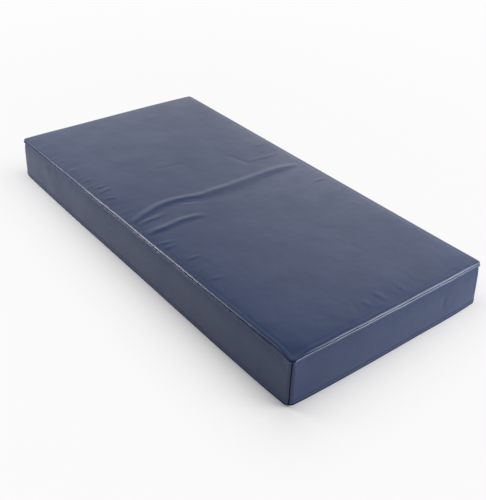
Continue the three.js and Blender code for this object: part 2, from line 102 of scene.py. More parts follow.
# Folds of the top panel, in millimetres: x and y, share of the rise there, and width of the near slope.
# Each has its rise and the width of its far slope before that.
FOLDS = (
    (3, 23, ((-5, -289, 0, 9), (-9, -275, 0.35, 11), (-23, -233, 0.85, 14), (-37, -184, 1, 15),
               (-38, -151, 0.95, 16), (-35, -127, 0.85, 14), (-29, -100, 0.75, 12), (-21, -71, 0.8, 20),
               (-21, -22, 1, 29), (-19, 23, 1, 31), (-22, 94, 1, 30), (-23, 164, 0.95, 25),
               (-20, 210, 0.85, 22), (-15, 240, 0.5, 19), (-10, 261, 0, 15))),
    (2.4, 19, ((62, -284, 0, 8), (60, -269, 0.5, 9), (57, -255, 0.9, 12), (57, -229, 1, 14),
               (52, -185, 0.95, 15), (56, -144, 0.7, 14), (64, -125, 0.3, 12), (70, -108, 0, 10))),
    (1.3, 14, ((12, -281, 0, 8), (10, -269, 0.5, 8), (6, -246, 1, 10), (6, -221, 0.8, 10),
               (3, -202, 0.4, 10), (1, -186, 0, 8))),
    (0.9, 16, ((-103, 153, 0, 8), (-103, 165, 0.5, 9), (-102, 182, 0.8, 10), (-97, 217, 1, 10),
               (-98, 238, 0.8, 10), (-92, 265, 0, 9))),
    (-0.7, 5, ((-182, 118, 0, 17), (-161, 131, 0.7, 17), (-123, 141, 1, 17), (-101, 148, 0.7, 17),
               (-81, 163, 0, 17))),
    (-0.45, 5, ((-214, -99, 0, 16), (-207, -73, 0.7, 16), (-203, -33, 1, 16), (-195, -11, 1, 16),
               (-171, -7, 0.8, 16), (-132, -4, 0, 16))),
    (-0.9, 6, ((-19, -135, 0, 6), (-15, -123, 1, 6), (-5, -104, 0.9, 6), (6, -86, 0, 6))),
)

# Short puckers in from the seams: two ends, then the rise in millimetres
PUCKERS = (
    (106, -288, 117, -242, 0.8), (131, -288, 134, -250, 0.8), (199, -270, 202, -227, 0.9),
    (290, -274, 297, -235, 0.7), (-257, -288, -261, -252, 0.8), (-206, -282, -209, -240, 0.9),
    (-180, -282, -187, -232, 0.8), (-149, -286, -136, -250, 0.7), (87, 228, 90, 266, 0.7),
    (-170, 229, -168, 257, 0.6), (531, -7, 572, -1, 0.8), (539, 57, 574, 55, 0.6), (539, -48, 572, -45, 0.7),
    (-397, -286, -401, -255, 0.5), (-331, -285, -328, -259, 0.5), (370, -279, 376, -253, 0.4),
)

# Where the top falls to its corners: x, y, drop and reach, in millimetres
CORNER_DROPS = ((586, -286, 3.4, 30), (590, 290, 1.2, 24), (-590, -290, 1.6, 28), (-590, 290, 1.2, 26))
# Where the seam itself falls, at the front right corner: place, depth, and reach along each side
SEAM_DIP = (598, -298, 0.8, 25, 12)

# Hollows pressed into the front border: x, z, and their reach along and up, then depth, in millimetres
FRONT_HOLLOWS = ((571, 102, 11, 8, 1.3), (587, 88, 5, 16, 0.7), (-420, 96, 16, 20, 0.8))
RIGHT_HOLLOWS = ((163, 60, 7, 15, 1.1), (-262, 101, 10, 8, 0.9), (20, 98, 18, 8, 0.6))

# Half the flat field of a panel, between the centres of its corners, in millimetres
FIELD_X, FIELD_Y = 584, 284
# Where the seam comes down again to the CAD's height: start and length of each slope, in metres
FALL_TO_REAR = (-0.15, 0.43)
FALL_TO_LEFT = (-0.15, 0.4)
# Share of the half side over which the rear wall passes from its ends to its upright middle
REAR_END_SHARE = 0.055
# Rings at the end of a panel's roll that lie in the groove and get painted shade, and the ring that is rubbed
# most and carries most of the painted highlight, from the end
GROOVE_RINGS = 3
RUBBED_HIGHLIGHT_RING = 6
# The puckers are built this much higher than they are listed
PUCKER_GAIN = 1.4
# How far in from the rims the top is more uneven, and how far the small puckers reach in from the long
# seams and from the short ones, in metres
RIM_REACH, SIDE_GATHERS, END_GATHERS = 0.045, 0.035, 0.03
# How far the foam's walls stay behind the cover's: at the seams' allowances, behind the zip and elsewhere,
# and how much further at the corners
FOAM_AT_SEAM, FOAM_BEHIND_ZIP, FOAM_AT_WALL, FOAM_AT_CORNER = 5.2 * MM, 4.6 * MM, 4.2 * MM, 2.4 * MM
# Lower and upper edge of the borders
BORDER_LOW, BORDER_HIGH = SEAM_LOW + CAD_CLEARANCE / 2, SEAM_HIGH - CAD_CLEARANCE / 2
# Middle and reach of the rubbed lip of a border, which is lighter partly as a painted highlight, and the end
# of the groove's painted shade, all from its edge
LIP_MIDDLE, LIP_REACH, DARK_REACH = 4.3 * MM, 2.2 * MM, 2.9 * MM
# Places of the colour sockets on a mix node
MIX_FIRST, MIX_SECOND, MIX_COLOUR = 6, 7, 2


def eased(share):
    """Rises from 0 to 1 with no kink at either end."""
    share = np.clip(share, 0.0, 1.0)
    return share * share * (3.0 - 2.0 * share)


def through(points, at):
    """A smooth curve through pairs of place and value."""
    places, values = np.array(points, float).T
    slopes = np.gradient(values, places)
    i = np.clip(np.searchsorted(places, at) - 1, 0, len(places) - 2)
    width = places[i + 1] - places[i]
    t = np.clip((at - places[i]) / width, 0.0, 1.0)
    rest = 1.0 - t
    ends = values[i] * rest * rest * (1 + 2 * t) + values[i + 1] * t * t * (1 + 2 * rest)
    return ends + width * t * rest * (slopes[i] * rest - slopes[i + 1] * t)


def wobble(x, y, z, size, seed):
    """Smooth noise from -1 to 1 that varies over a length."""
    x, y, z = np.broadcast_arrays(x, y, z)
    places = np.stack([x, y, z], axis=-1).reshape(-1, 3) / size + seed
    return np.array([noise.noise(p) for p in places.tolist()]).reshape(x.shape)


def seam_dip(x, y):
    """How far the upper seam falls at a place: at one corner, and towards the rear and the left."""
    at_x, at_y, depth, reach_x, reach_y = SEAM_DIP
    corner = depth * MM * np.exp(-((x / MM - at_x) / reach_x) ** 2 - ((y / MM - at_y) / reach_y) ** 2)
    raised = 1 - eased((y - FALL_TO_REAR[0]) / FALL_TO_REAR[1])
    raised = raised * (1 - eased((FALL_TO_LEFT[0] - x) / FALL_TO_LEFT[1]))
    return corner + SEAM_RISE * (1 - raised)


def wall_swell(name, along, z):
    """How far one wall stands out from the plain outline, at shares of its half side and at heights."""
    rise = np.clip((z - SEAM_LOW) / (SEAM_HIGH - SEAM_LOW), 0.0, 1.0)
    if name == "rear":
        # The wall stays upright as far up as the zip
        steady = eased((z - ZIP_TOP) / (SEAM_HIGH - ZIP_TOP))
        rise = rise + (steady - rise) * eased((1 - np.abs(along)) / REAR_END_SHARE)
    head = through(HEAD_SWELL[name], along)
    foot = through(FOOT_SWELL[name], along)
    bulge = WALL_BULGE[name] * np.sin(np.pi * rise) * (1 - along * along)
    return (foot + (head - foot) * rise + bulge) * MM


class Stations:
    """Places round the outline: the point of the core rectangle behind each, and the way out from it."""

    def __init__(self, side, along, turn, from_seam):
        cover = bpy.context.scene.mattress.cover
        self.radius = cover.corner_radius
        self.core = np.array([cover.half_length, cover.half_width]) - self.radius
        self.side = np.array(side)
        self.along = np.array(along, float)
        self.turn = np.array(turn, float)
        self.from_seam = np.array(from_seam, float)
        facing = np.array([OUT_DEGREES[name] for name in self.side])
        self.face = self.directions(facing)
        self.ahead = self.directions(facing + 90)
        self.half = np.abs(self.ahead) @ self.core
        away = np.abs(self.face) @ self.core
        self.base = self.face * away[:, None] + self.ahead * (self.along * self.half)[:, None]
        self.out = self.directions(facing + self.turn)
        self.run = self.directions(facing + self.turn + 90)

    @staticmethod
    def directions(degrees):
        turn = np.radians(degrees)
        return np.stack([np.cos(turn), np.sin(turn)], axis=-1)

    def places(self, depth, z):
        """Points at a depth behind the walls, which stand out or lean in, and carry the corners with them."""
        z = np.broadcast_to(z, self.along.shape).astype(float)
        own, aside = np.zeros(len(z)), np.zeros(len(z))
        order = list(OUT_DEGREES)
        for number, name in enumerate(order):
            here = self.side == name
            along, half = self.along[here], self.half[here]
            own[here] = wall_swell(name, along, z[here])
            for sign, beside in ((1, order[(number + 1) % 4]), (-1, order[number - 1])):
                share = eased(1 - (1 - sign * along) * half / FOLLOWING)
                aside[here] += sign * share * wall_swell(beside, -sign * np.ones(len(along)), z[here])
        rise = np.clip((z - SEAM_LOW) / (SEAM_HIGH - SEAM_LOW), 0.0, 1.0)
        pointed = (CORNER_FOOT + (CORNER_HEAD - CORNER_FOOT) * rise) * np.sin(np.radians(2 * self.turn)) ** 2
        reach = self.radius - depth + pointed
        flat = self.base + self.face * own[:, None] + self.ahead * aside[:, None] + self.out * reach[:, None]
        return np.column_stack([flat, z - seam_dip(*flat.T) * np.clip(z / SEAM_HIGH, 0, 1)])


CORNER_SHARES = (0.0, 0.16, 0.32, 0.5, 0.68, 0.84, 1.0)


def stations_round(columns, rows):
    """All stations round the outline, with one at each end of every column and row of a field."""
    core = np.array([columns[-1], rows[-1]])
    runs = {
        "front": columns / core[0], "right": rows / core[1],
        "rear": -columns[::-1] / core[0], "left": -rows[::-1] / core[1],
    }
    side, along, turn = [], [], []
    for name, shares in runs.items():
        corner = CORNER_SHARES[1:-1]
        side += [name] * (len(shares) + len(corner))
        along += list(shares) + [1.0] * len(corner)
        turn += [0.0] * len(shares) + [90.0 * share for share in corner]
    return Stations(side, along, turn, [0.0] * len(side))


def rim_indices(field):
    """The edge of a field of vertex numbers, in the order of the stations."""
    extra = len(CORNER_SHARES) - 2
    edges = [field[:, 0], field[-1, :], field[::-1, -1], field[0, ::-1]]
    return np.concatenate([np.append(edge, [edge[-1]] * extra) for edge in edges])


def banded(upper, lower, closed=True):
    """Quads between two rows of vertex numbers, seen from outside with the second row below."""
    if closed:
        ahead_upper, ahead_lower = np.roll(upper, -1), np.roll(lower, -1)
    else:
        upper, ahead_upper, lower, ahead_lower = upper[:-1], upper[1:], lower[:-1], lower[1:]
    return np.column_stack([upper, lower, ahead_lower, ahead_upper])


def gridded(field, faces_up):
    quads = np.stack([field[:-1, :-1], field[1:, :-1], field[1:, 1:], field[:-1, 1:]], axis=-1).reshape(-1, 4)
    return quads if faces_up else quads[:, ::-1]


def stacked(field, rings, under, shape):
    """Points and quads of a closed body: a field, rings down its sides, and a field that closes it below."""
    numbers = np.arange(len(field)).reshape(shape)
    loops, start = [rim_indices(numbers)], len(field)
    for ring in rings:
        loops.append(np.arange(start, start + len(ring)))
        start += len(ring)
    below = numbers + start
    loops.append(rim_indices(below))
    quads = [gridded(numbers, True), gridded(below, False)]
    quads += [banded(high, low) for high, low in zip(loops[:-1], loops[1:])]
    return np.concatenate([field, *rings, under]), np.concatenate(quads)


def linked(name, data):
    """A new object in the scene."""
    piece = bpy.data.objects.new(name, data)
    bpy.context.collection.objects.link(piece)
    return piece


def keep_modified(piece):
    """Keeps what the modifiers of a piece make as its plain mesh."""
    seen = piece.evaluated_get(bpy.context.evaluated_depsgraph_get())
    mesh = bpy.data.meshes.new_from_object(seen)
    piece.modifiers.clear()
    piece.data = mesh
    return mesh


def make_mesh(name, points, quads, material, wear_and_painted_light=None):
    """A smooth mesh object of quads. Equal corners of a quad are merged, and one left with two is dropped."""
    faces = []
    for quad in np.asarray(quads).tolist():
        corners = [v for i, v in enumerate(quad) if v != quad[i - 1]]
        if len(corners) > 2:
            faces.append(corners)
    mesh = bpy.data.meshes.new(name)
    mesh.from_pydata(np.asarray(points).tolist(), [], faces)
    mesh.shade_smooth()
    layer = mesh.attributes.new("wear_and_painted_light", "FLOAT", "POINT")
    layer.data.foreach_set("value", np.zeros(len(points)) if wear_and_painted_light is None else np.asarray(wear_and_painted_light, float))
    mesh.materials.append(material)
    mesh.update()
    return linked(name, mesh)


# Top of the mattress

def crown_at(x, y):
    """The height that the foam stands above its edges: nearly flat, and falling away at the rims."""
    cover = bpy.context.scene.mattress.cover
    from_end = np.maximum(cover.half_length - cover.corner_radius - np.abs(x), 0.0)
    from_side = np.maximum(cover.half_width - cover.corner_radius - np.abs(y), 0.0)
    ends = 1 - np.exp(-from_end / cover.end_shoulder)
    sides = 1 - np.exp(-from_side / cover.side_shoulder)
    across = 1 - (np.abs(x) / cover.half_length) ** 3 * 0.3
    return cover.crown * ends * sides * across


def fold_height(points, far, x, y):
    """Height of one fold, from its crest line: a steep slope on the near side and a softer one behind."""
    path = np.array(points, float)
    fine = np.linspace(0, len(path) - 1, 6 * (len(path) - 1) + 1)
    places = np.arange(len(path))
    line = np.column_stack([through(np.column_stack([places, path[:, k]]), fine) for k in range(4)])
    height = np.zeros(len(x))
    reach = max(far, path[:, 3].max()) * 2.6
    low, high = path[:, :2].min(axis=0) - reach, path[:, :2].max(axis=0) + reach
    near = (x > low[0]) & (x < high[0]) & (y > low[1]) & (y < high[1])
    spot = np.column_stack([x[near], y[near]])
    best = np.full(len(spot), 1e9)
    side, rise, width = (np.zeros(len(spot)) for _ in range(3))
    for start, end in zip(line[:-1], line[1:]):
        step = end[:2] - start[:2]
        away = spot - start[:2]
        share = np.clip(away @ step / (step @ step), 0.0, 1.0)
        gap = np.hypot(*(away - share[:, None] * step).T)
        closer = gap < best
        best[closer] = gap[closer]
        turned = step[0] * away[:, 1] - step[1] * away[:, 0]
        side[closer] = -np.sign(turned[closer])
        rise[closer] = (start[2] + share * (end[2] - start[2]))[closer]
        width[closer] = (start[3] + share * (end[3] - start[3]))[closer]
    slope = np.where(side > 0, width, far)
    share = np.minimum(best / slope, 1.0)
    ridge = np.where(side > 0, 0.55 * (1 - share) ** 2.2 + 0.45 * np.cos(share * np.pi / 2) ** 2,
                     np.cos(share * np.pi / 2) ** 2)
    trough = np.where(side > 0, np.exp(-(((best - 1.35 * width) / (0.55 * width)) ** 2)), 0.0)
    height[near] = rise * (ridge - 0.12 * trough)
    return height


def corner_fall(x, y):
    """How far the top panel falls towards its corners, in metres."""
    fall = np.zeros(np.shape(x))
    for corner_x, corner_y, drop, reach in CORNER_DROPS:
        fall += drop * MM * np.exp(-(((x / MM - corner_x) ** 2 + (y / MM - corner_y) ** 2) / reach ** 2))
    return fall


def relief_at(x, y):
    """Folds, puckers and soft unevenness of the top panel, in metres."""
    cover = bpy.context.scene.mattress.cover
    shape = np.shape(x)
    flat_x, flat_y = np.ravel(x) / MM, np.ravel(y) / MM
    height = np.zeros(len(flat_x))
    for rise, far, points in FOLDS:
        height += rise * fold_height(points, far, flat_x, flat_y)
    for x0, y0, x1, y1, rise in PUCKERS:
        middle = ((x0 + x1) / 2, (y0 + y1) / 2, 1, 6)
        crest = ((x0, y0, 0.2, 5), middle, (x1, y1, 0, 5))
        height += PUCKER_GAIN * rise * fold_height(crest, 7, flat_x, flat_y)
    height *= cover.fold_rise
    x, y = np.ravel(x), np.ravel(y)
    rim = np.minimum(cover.half_length - np.abs(x), cover.half_width - np.abs(y))
    beside = np.exp(-rim / RIM_REACH)
    soft = 0.42 * wobble(x, y, 0, 0.11, 3.7) + 0.2 * wobble(x, y, 0, 0.045, 8.1)
    fine = 0.07 * wobble(x, y, 0, 0.016, 15.3)
    # Small puckers that run in from the seams
    from_side = np.exp(-(cover.half_width - np.abs(y)) / SIDE_GATHERS)
    from_end = np.exp(-(cover.half_length - np.abs(x)) / END_GATHERS)
    gathers = 0.75 * wobble(x, y * 0.2, 0, 0.018, 21.9) * from_side
    gathers += 0.45 * wobble(x * 0.2, y, 0, 0.018, 27.4) * from_end
    height += cover.unevenness * (soft * (1 + 0.8 * beside) + fine + gathers)
    return (height * MM).reshape(shape)


# Cross-section of the top panel's roll in millimetres, from the field out to the seam: depth, and height
# below the edge
ROLL = (
    (13.5, 0.02), (11, 0.06), (9.2, 0.16), (7.8, 0.3), (6.6, 0.48), (5.6, 0.7), (4.7, 0.97), (3.9, 1.27),
    (3.2, 1.6), (2.5, 1.98), (1.9, 2.36), (1.3, 2.8), (0.75, 3.28), (0.35, 3.7), (0.15, 3.95), (0.3, 4.1),
    (1.3, 4.2), (3.35, 4.3),
)
# The bottom panel's roll, from its field out to the seam: depth, height
FOOT_ROLL = (
    (14, 0.01), (11.5, 0.1), (9, 0.32), (6.8, 0.75), (4.8, 1.4), (3.1, 2.3), (1.7, 3.3), (0.8, 4.3),
    (0.35, 5.1), (1.1, 5.55), (3.2, 5.9),
)
ALLOWANCE_FRONT = 3.4 * MM
ALLOWANCE_STEPS = (0.2, 0.55, 1.0)


def offset_inwards(profile, thickness):
    """The inner skin of a profile of (depth, z) points that runs outwards from the field."""
    flat = profile * np.array([-1.0, 1.0])
    run = np.gradient(flat, axis=0)
    run /= np.hypot(*run.T)[:, None]
    normal = np.column_stack([-run[:, 1], run[:, 0]])
    return (flat - normal * thickness) * np.array([-1.0, 1.0])


def following_sides(columns, rows, z):
    """The points of a field, moved to follow the walls that stand out or lean in beside it."""
    moved_x, moved_y = np.meshgrid(columns, rows, indexing="ij")
    grid_x, grid_y = moved_x.copy(), moved_y.copy()
    ends, sides = columns[-1], rows[-1]
    for side, across, share in (("right", ends - grid_x, rows / sides),
                                ("left", ends + grid_x, -rows / sides)):
        push = wall_swell(side, share, z) * (1 if side == "right" else -1)
        moved_x += push[None, :] * eased(1 - across / FOLLOWING)
    for side, across, share in (("front", sides + grid_y, columns / ends),
                                ("rear", sides - grid_y, -columns / ends)):
        push = wall_swell(side, share, z) * (1 if side == "rear" else -1)
        moved_y += push[:, None] * eased(1 - across / FOLLOWING)
    return moved_x, moved_y


def panel_piece(name, columns, rows, material, field_height, roll, seam, up, relief=None):
    """A top or bottom panel with its roll and its seam allowance, as one closed sheet.

    up is 1 for the top panel and -1 for the bottom one, which is built the other way up."""
    cover = bpy.context.scene.mattress.cover
    thick = cover.thickness
    stations = stations_round(columns, rows)
    moved_x, moved_y = following_sides(columns, rows, seam)
    lift = relief(moved_x, moved_y) if relief else np.zeros(moved_x.shape)
    height = field_height(moved_x, moved_y) + lift
    outer_field = np.stack([moved_x, moved_y, height], axis=-1).reshape(-1, 3)
    inner_field = outer_field - np.array([0, 0, up * thick])
    outer = np.array(roll)
    inner = offset_inwards(outer * np.array([1, up]), thick) * np.array([1, up])
    allowance = [(ALLOWANCE_FRONT, seam - up * share * cover.allowance) for share in ALLOWANCE_STEPS]
    behind = [(ALLOWANCE_FRONT + thick, z) for _, z in reversed(allowance)]
    inner_roll = [point for point in inner[::-1] if point[0] > ALLOWANCE_FRONT + thick]
    rings = [*outer, *allowance, *behind, *inner_roll]
    wear_and_painted_light, sides = [np.zeros(len(outer_field))], []
    crest = len(outer) - RUBBED_HIGHLIGHT_RING
    for number, (depth, z) in enumerate(rings):
        ring = stations.places(depth, z)
        if relief:
            share = float(eased((depth - 3.5 * MM) / (9 * MM)))
            if number < len(outer) or number >= len(outer) + 2 * len(allowance):
                ring[:, 2] += relief(ring[:, 0], ring[:, 1]) * share
                above = (z - seam) / (cover.edge_height - seam)
                ring[:, 2] -= corner_fall(ring[:, 0], ring[:, 1]) * above
        # Above zero: the rubbed crest of the roll, lighter partly as a painted highlight. Below zero: painted
        # shade on the rings that lie in the groove
        rub_and_highlight = max(0.0, 1 - abs(number - crest) / 5) if number < len(outer) - GROOVE_RINGS else -1.0
        wear_and_painted_light.append(np.full(len(ring), rub_and_highlight))
        sides.append(ring)
    wear_and_painted_light.append(np.zeros(len(inner_field)))
    points, quads = stacked(outer_field, sides, inner_field, moved_x.shape)
    if up < 0:
        quads = quads[:, ::-1]
    return make_mesh(name, points, quads, material, np.concatenate(wear_and_painted_light))


def lines_between(*runs):
    """Mesh lines from runs of (start, end, step) in millimetres, in metres."""
    places = [np.linspace(a, b, max(2, round((b - a) / step) + 1))[:-1] for a, b, step in runs]
    return np.append(np.concatenate(places), runs[-1][1]) * MM


def even_lines(step):
    """Columns and rows of a plain field, at one step in millimetres."""
    return lines_between((-FIELD_X, FIELD_X, step)), lines_between((-FIELD_Y, FIELD_Y, step))


# Borders

def border_profile(z, low_seam, high_seam, low_lip, high_lip):
    """Depth of a border's face at a height: a lip and a double hem at each seam, drawn in behind the hem."""
    depth = np.zeros(len(z))
    shape = ((0, 3.1), (2, 3.05), (2.3, 2.7), (2.5, 1.9), (2.65, 1.1), (2.9, 0.55), (3.4, 0.05), (4.1, -0.5),
             (4.8, -0.9), (5.5, -1.1), (6.3, -1.1), (7.3, -0.8), (8.6, -0.15), (9.8, 0.75), (10.8, 1.65),
             (11.8, 2.1), (12.8, 2.05), (14.5, 1.6), (18, 1.05), (23, 0.65), (30, 0.3), (38, 0))
    for seam, lip, sign in ((low_seam, low_lip, 1), (high_seam, high_lip, -1)):
        if lip is None:
            continue
        away = (z - seam) * sign / MM
        depth += np.where(away < 38, through(shape, away), 0) * lip * MM
    return depth


def groove(from_seam):
    """Depth of a border beside an upright seam: nipped in at the seam, proud over its allowance."""
    shape = ((0, 2.9), (0.45, 2.2), (1, 0.9), (1.7, 0.2), (2.8, -0.1), (4.5, -0.2), (8, -0.1), (10, 0.15),
             (13, 0.35), (20, 0.2), (30, 0))
    return np.where(from_seam < 30 * MM, through(shape, np.minimum(from_seam / MM, 30)), 0) * MM


def border_stations(name, start, end, step):
    """Stations along a border from start to end: a share of the side, or "seam" for its upright seam."""
    cover = bpy.context.scene.mattress.cover
    radius = cover.corner_radius
    quarter = radius * math.pi / 4
    # Columns lie closer together beside a seam or an end
    beside = [0.03, 0.4, 0.9, 1.7, 2.8, 4.2, 6, 8, 9.8, 11.2]
    order = list(OUT_DEGREES)
    before = order[order.index(name) - 1]
    half = float(np.abs(Stations.directions(OUT_DEGREES[name] + 90)) @
                 np.array([cover.half_length - radius, cover.half_width - radius]))
    side, along, turn, gap = [], [], [], []

    def round_corner(wall, sign, distances):
        for away in distances:
            side.append(wall)
            along.append(1.0)
            turn.append(45 + sign * math.degrees(away * MM / radius))
            gap.append(away * MM)

    if start == "seam":
        round_corner(before, 1, beside)
    first = -half if start == "seam" else start
    last = half if end == "seam" else end
    count = max(2, round((last - first) / step) + 1)
    spots = np.linspace(first, last, count)
    close = np.array([0.03, 0.4, 0.9, 1.7, 2.8, 4.2, 6, 8, 10, 13]) * MM
    if start != "seam":
        spots = np.concatenate([first + close, spots[spots > first + close[-1] + step / 2]])
    if end != "seam":
        spots = np.concatenate([spots[spots < last - close[-1] - step / 2], last - close[::-1]])
    for spot in spots:
        side.append(name)
        along.append(spot / half)
        turn.append(0.0)
        from_start = quarter + spot + half if start == "seam" else spot - first
        from_end = quarter + half - spot if end == "seam" else last - spot
        gap.append(min(from_start, from_end))
    if end == "seam":
        round_corner(name, -1, beside[::-1])
    return Stations(side, along, turn, gap)


def heights_between(low, high, low_hem, high_hem):
    """Mesh rows of a border, close together at its seams: heights in metres."""
    fine = np.array([0, 1.2, 2, 2.22, 2.38, 2.5, 2.62, 2.78, 3, 3.4, 3.9, 4.5, 5.1, 5.7, 6.5, 7.5, 8.5, 9.4,
                     10.2, 11, 11.8, 12.8, 14.2, 17, 23]) * MM
    plain = np.array([0, 0.3, 0.8, 1.5, 3, 6, 9, 11.2, 12.4, 13.6, 17]) * MM
    first = low + (fine if low_hem else plain)
    last = high - (fine if high_hem else plain)[::-1]
    middle = np.linspace(first[-1], last[0], max(2, round((last[0] - first[-1]) / (5 * MM)) + 1))[1:-1]
    return np.concatenate([first, middle, last])


def border_piece(name, stations, heights, face, material, hollows=()):
    """One border as a closed sheet with its edges folded double inside."""
    cover = bpy.context.scene.mattress.cover
    thick = cover.thickness
    points, wear_and_painted_light = [], []
    hem = cover.allowance
    dips = groove(stations.from_seam)
    outline = stations.base + stations.out * stations.radius
    for layer in ("face", "back"):
        for z, depth in zip(heights, face):
            low_away, high_away = z - heights[0], heights[-1] - z
            nearest = min(low_away, high_away)
            near_seam = eased(1 - min(high_away, low_away * 2) / 0.045)
            ripple = wobble(outline[:, 0], outline[:, 1], z * 0.22, 0.016, 4.4) * (0.12 + 0.3 * near_seam)
            broad = wobble(outline[:, 0], outline[:, 1], z * 0.6, 0.075, 9.2) * 0.5
            still = 0.35 if stations.side[len(stations.side) // 2] == "rear" else 1.0
            taper = eased(nearest / (4 * MM))
            dent = (ripple + broad * taper) * cover.unevenness * still * MM * taper
            for along, up, reach, height, deep in hollows:
                run = outline[:, 0 if abs(stations.run[len(outline) // 2][0]) > 0.5 else 1] / MM
                away = ((run - along) / reach) ** 2 + ((z / MM - up) / height) ** 2
                dent = dent + deep * MM * np.exp(-away)
            own = depth + dips + dent
            if layer == "back":
                # The cloth lies double within its hem
                back = 2 * thick - 0.5 * MM if nearest < hem else own + thick
                own = np.maximum(np.maximum(back, own + 0.3 * MM), 0.9 * thick)
            points.append(stations.places(own, z))
            # The rubbed lip and the cloth beside the upright seams get the lighter worn colour, which is
            # partly a painted highlight
            lip = max(0.0, 1 - abs(nearest - LIP_MIDDLE) / LIP_REACH)
            upright = 0.4 * np.clip(1 - np.abs(stations.from_seam - 2.5 * MM) / (2.5 * MM), 0, 1)
            rubbed_and_highlight = np.maximum(lip, upright) * (layer == "face")
            # Below zero: painted shade in the grooves along the hems and beside the upright seams
            shaded = np.clip((dips + depth - 0.7 * MM) / (0.6 * MM), 0, 1) * (nearest < DARK_REACH)
            shaded = np.maximum(shaded, np.clip((dips - 1.3 * MM) / (1 * MM), 0, 1))
            wear_and_painted_light.append(np.where(shaded > 0, -shaded, rubbed_and_highlight))
    count, rows = len(stations.along), len(heights)
    points = np.concatenate(points)
    index = np.arange(2 * rows * count).reshape(2, rows, count)
    quads = []
    for row in range(rows - 1):
        quads.append(banded(index[0, row + 1], index[0, row], closed=False))
        quads.append(banded(index[1, row], index[1, row + 1], closed=False))
    quads.append(banded(index[0, 0], index[1, 0], closed=False))
    quads.append(banded(index[1, -1], index[0, -1], closed=False))
    for end in (0, -1):
        cap = np.column_stack([index[0, :-1, end], index[0, 1:, end], index[1, 1:, end], index[1, :-1, end]])
        quads.append(cap if end == 0 else cap[:, ::-1])
    return make_mesh(name, points, np.concatenate(quads), material, np.concatenate(wear_and_painted_light))


# Materials

def found(tree, kind):
    return next(node for node in tree.nodes if node.type == kind)


def new_material(name):
    """A material, its shader, a way to add nodes to it, and the place on the object."""
    material = bpy.data.materials.new(name)
    material.use_nodes = True
    nodes = Nodes(material.node_tree)
    return material, found(material.node_tree, "BSDF_PRINCIPLED"), nodes, nodes.place()


class Nodes:
    """Adds and links the nodes of one material, world or piece of geometry."""

    def __init__(self, tree):
        self.tree = tree

    def add(self, kind, settings=None, **inputs):
        node = self.tree.nodes.new(kind)
        for key, value in (settings or {}).items():
            setattr(node, key, value)
        for key, value in inputs.items():
            self.put(node.inputs[key.replace("_", " ")], value)
        return node

    def put(self, socket, value):
        if isinstance(value, bpy.types.NodeSocket):
            self.tree.links.new(value, socket)
        else:
            socket.default_value = value

    def place(self):
        return self.add("ShaderNodeTexCoord").outputs["Object"]

    def noise(self, place, scale, detail=2.0, roughness=0.5):
        node = self.add("ShaderNodeTexNoise", Vector=place, Scale=scale, Detail=detail, Roughness=roughness)
        return node.outputs["Fac"]

    def mapped(self, value, low, high, to_low, to_high):
        node = self.add("ShaderNodeMapRange")
        for key, number in (("Value", value), ("From Min", low), ("From Max", high), ("To Min", to_low),
                            ("To Max", to_high)):
            self.put(node.inputs[key], number)
        return node.outputs["Result"]

    def math(self, operation, first, second=0.0, third=0.0):
        node = self.add("ShaderNodeMath", {"operation": operation})
        for socket, value in zip(node.inputs, (first, second, third)):
            self.put(socket, value)
        return node.outputs[0]

    def mix(self, factor, first, second, blend="MIX"):
        node = self.add("ShaderNodeMix", {"data_type": "RGBA", "blend_type": blend})
        self.put(node.inputs["Factor"], factor)
        self.put(node.inputs[MIX_FIRST], first)
        self.put(node.inputs[MIX_SECOND], second)
        return node.outputs[MIX_COLOUR]

    def blend(self, factor, first, second):
        node = self.add("ShaderNodeMixShader")
        for socket, value in zip(node.inputs, (factor, first, second)):
            self.put(socket, value)
        return node.outputs[0]

    def bump(self, height, distance, strength, normal=None):
        node = self.add("ShaderNodeBump", Height=height, Distance=distance, Strength=strength)
        if normal is not None:
            self.put(node.inputs["Normal"], normal)
        return node.outputs["Normal"]


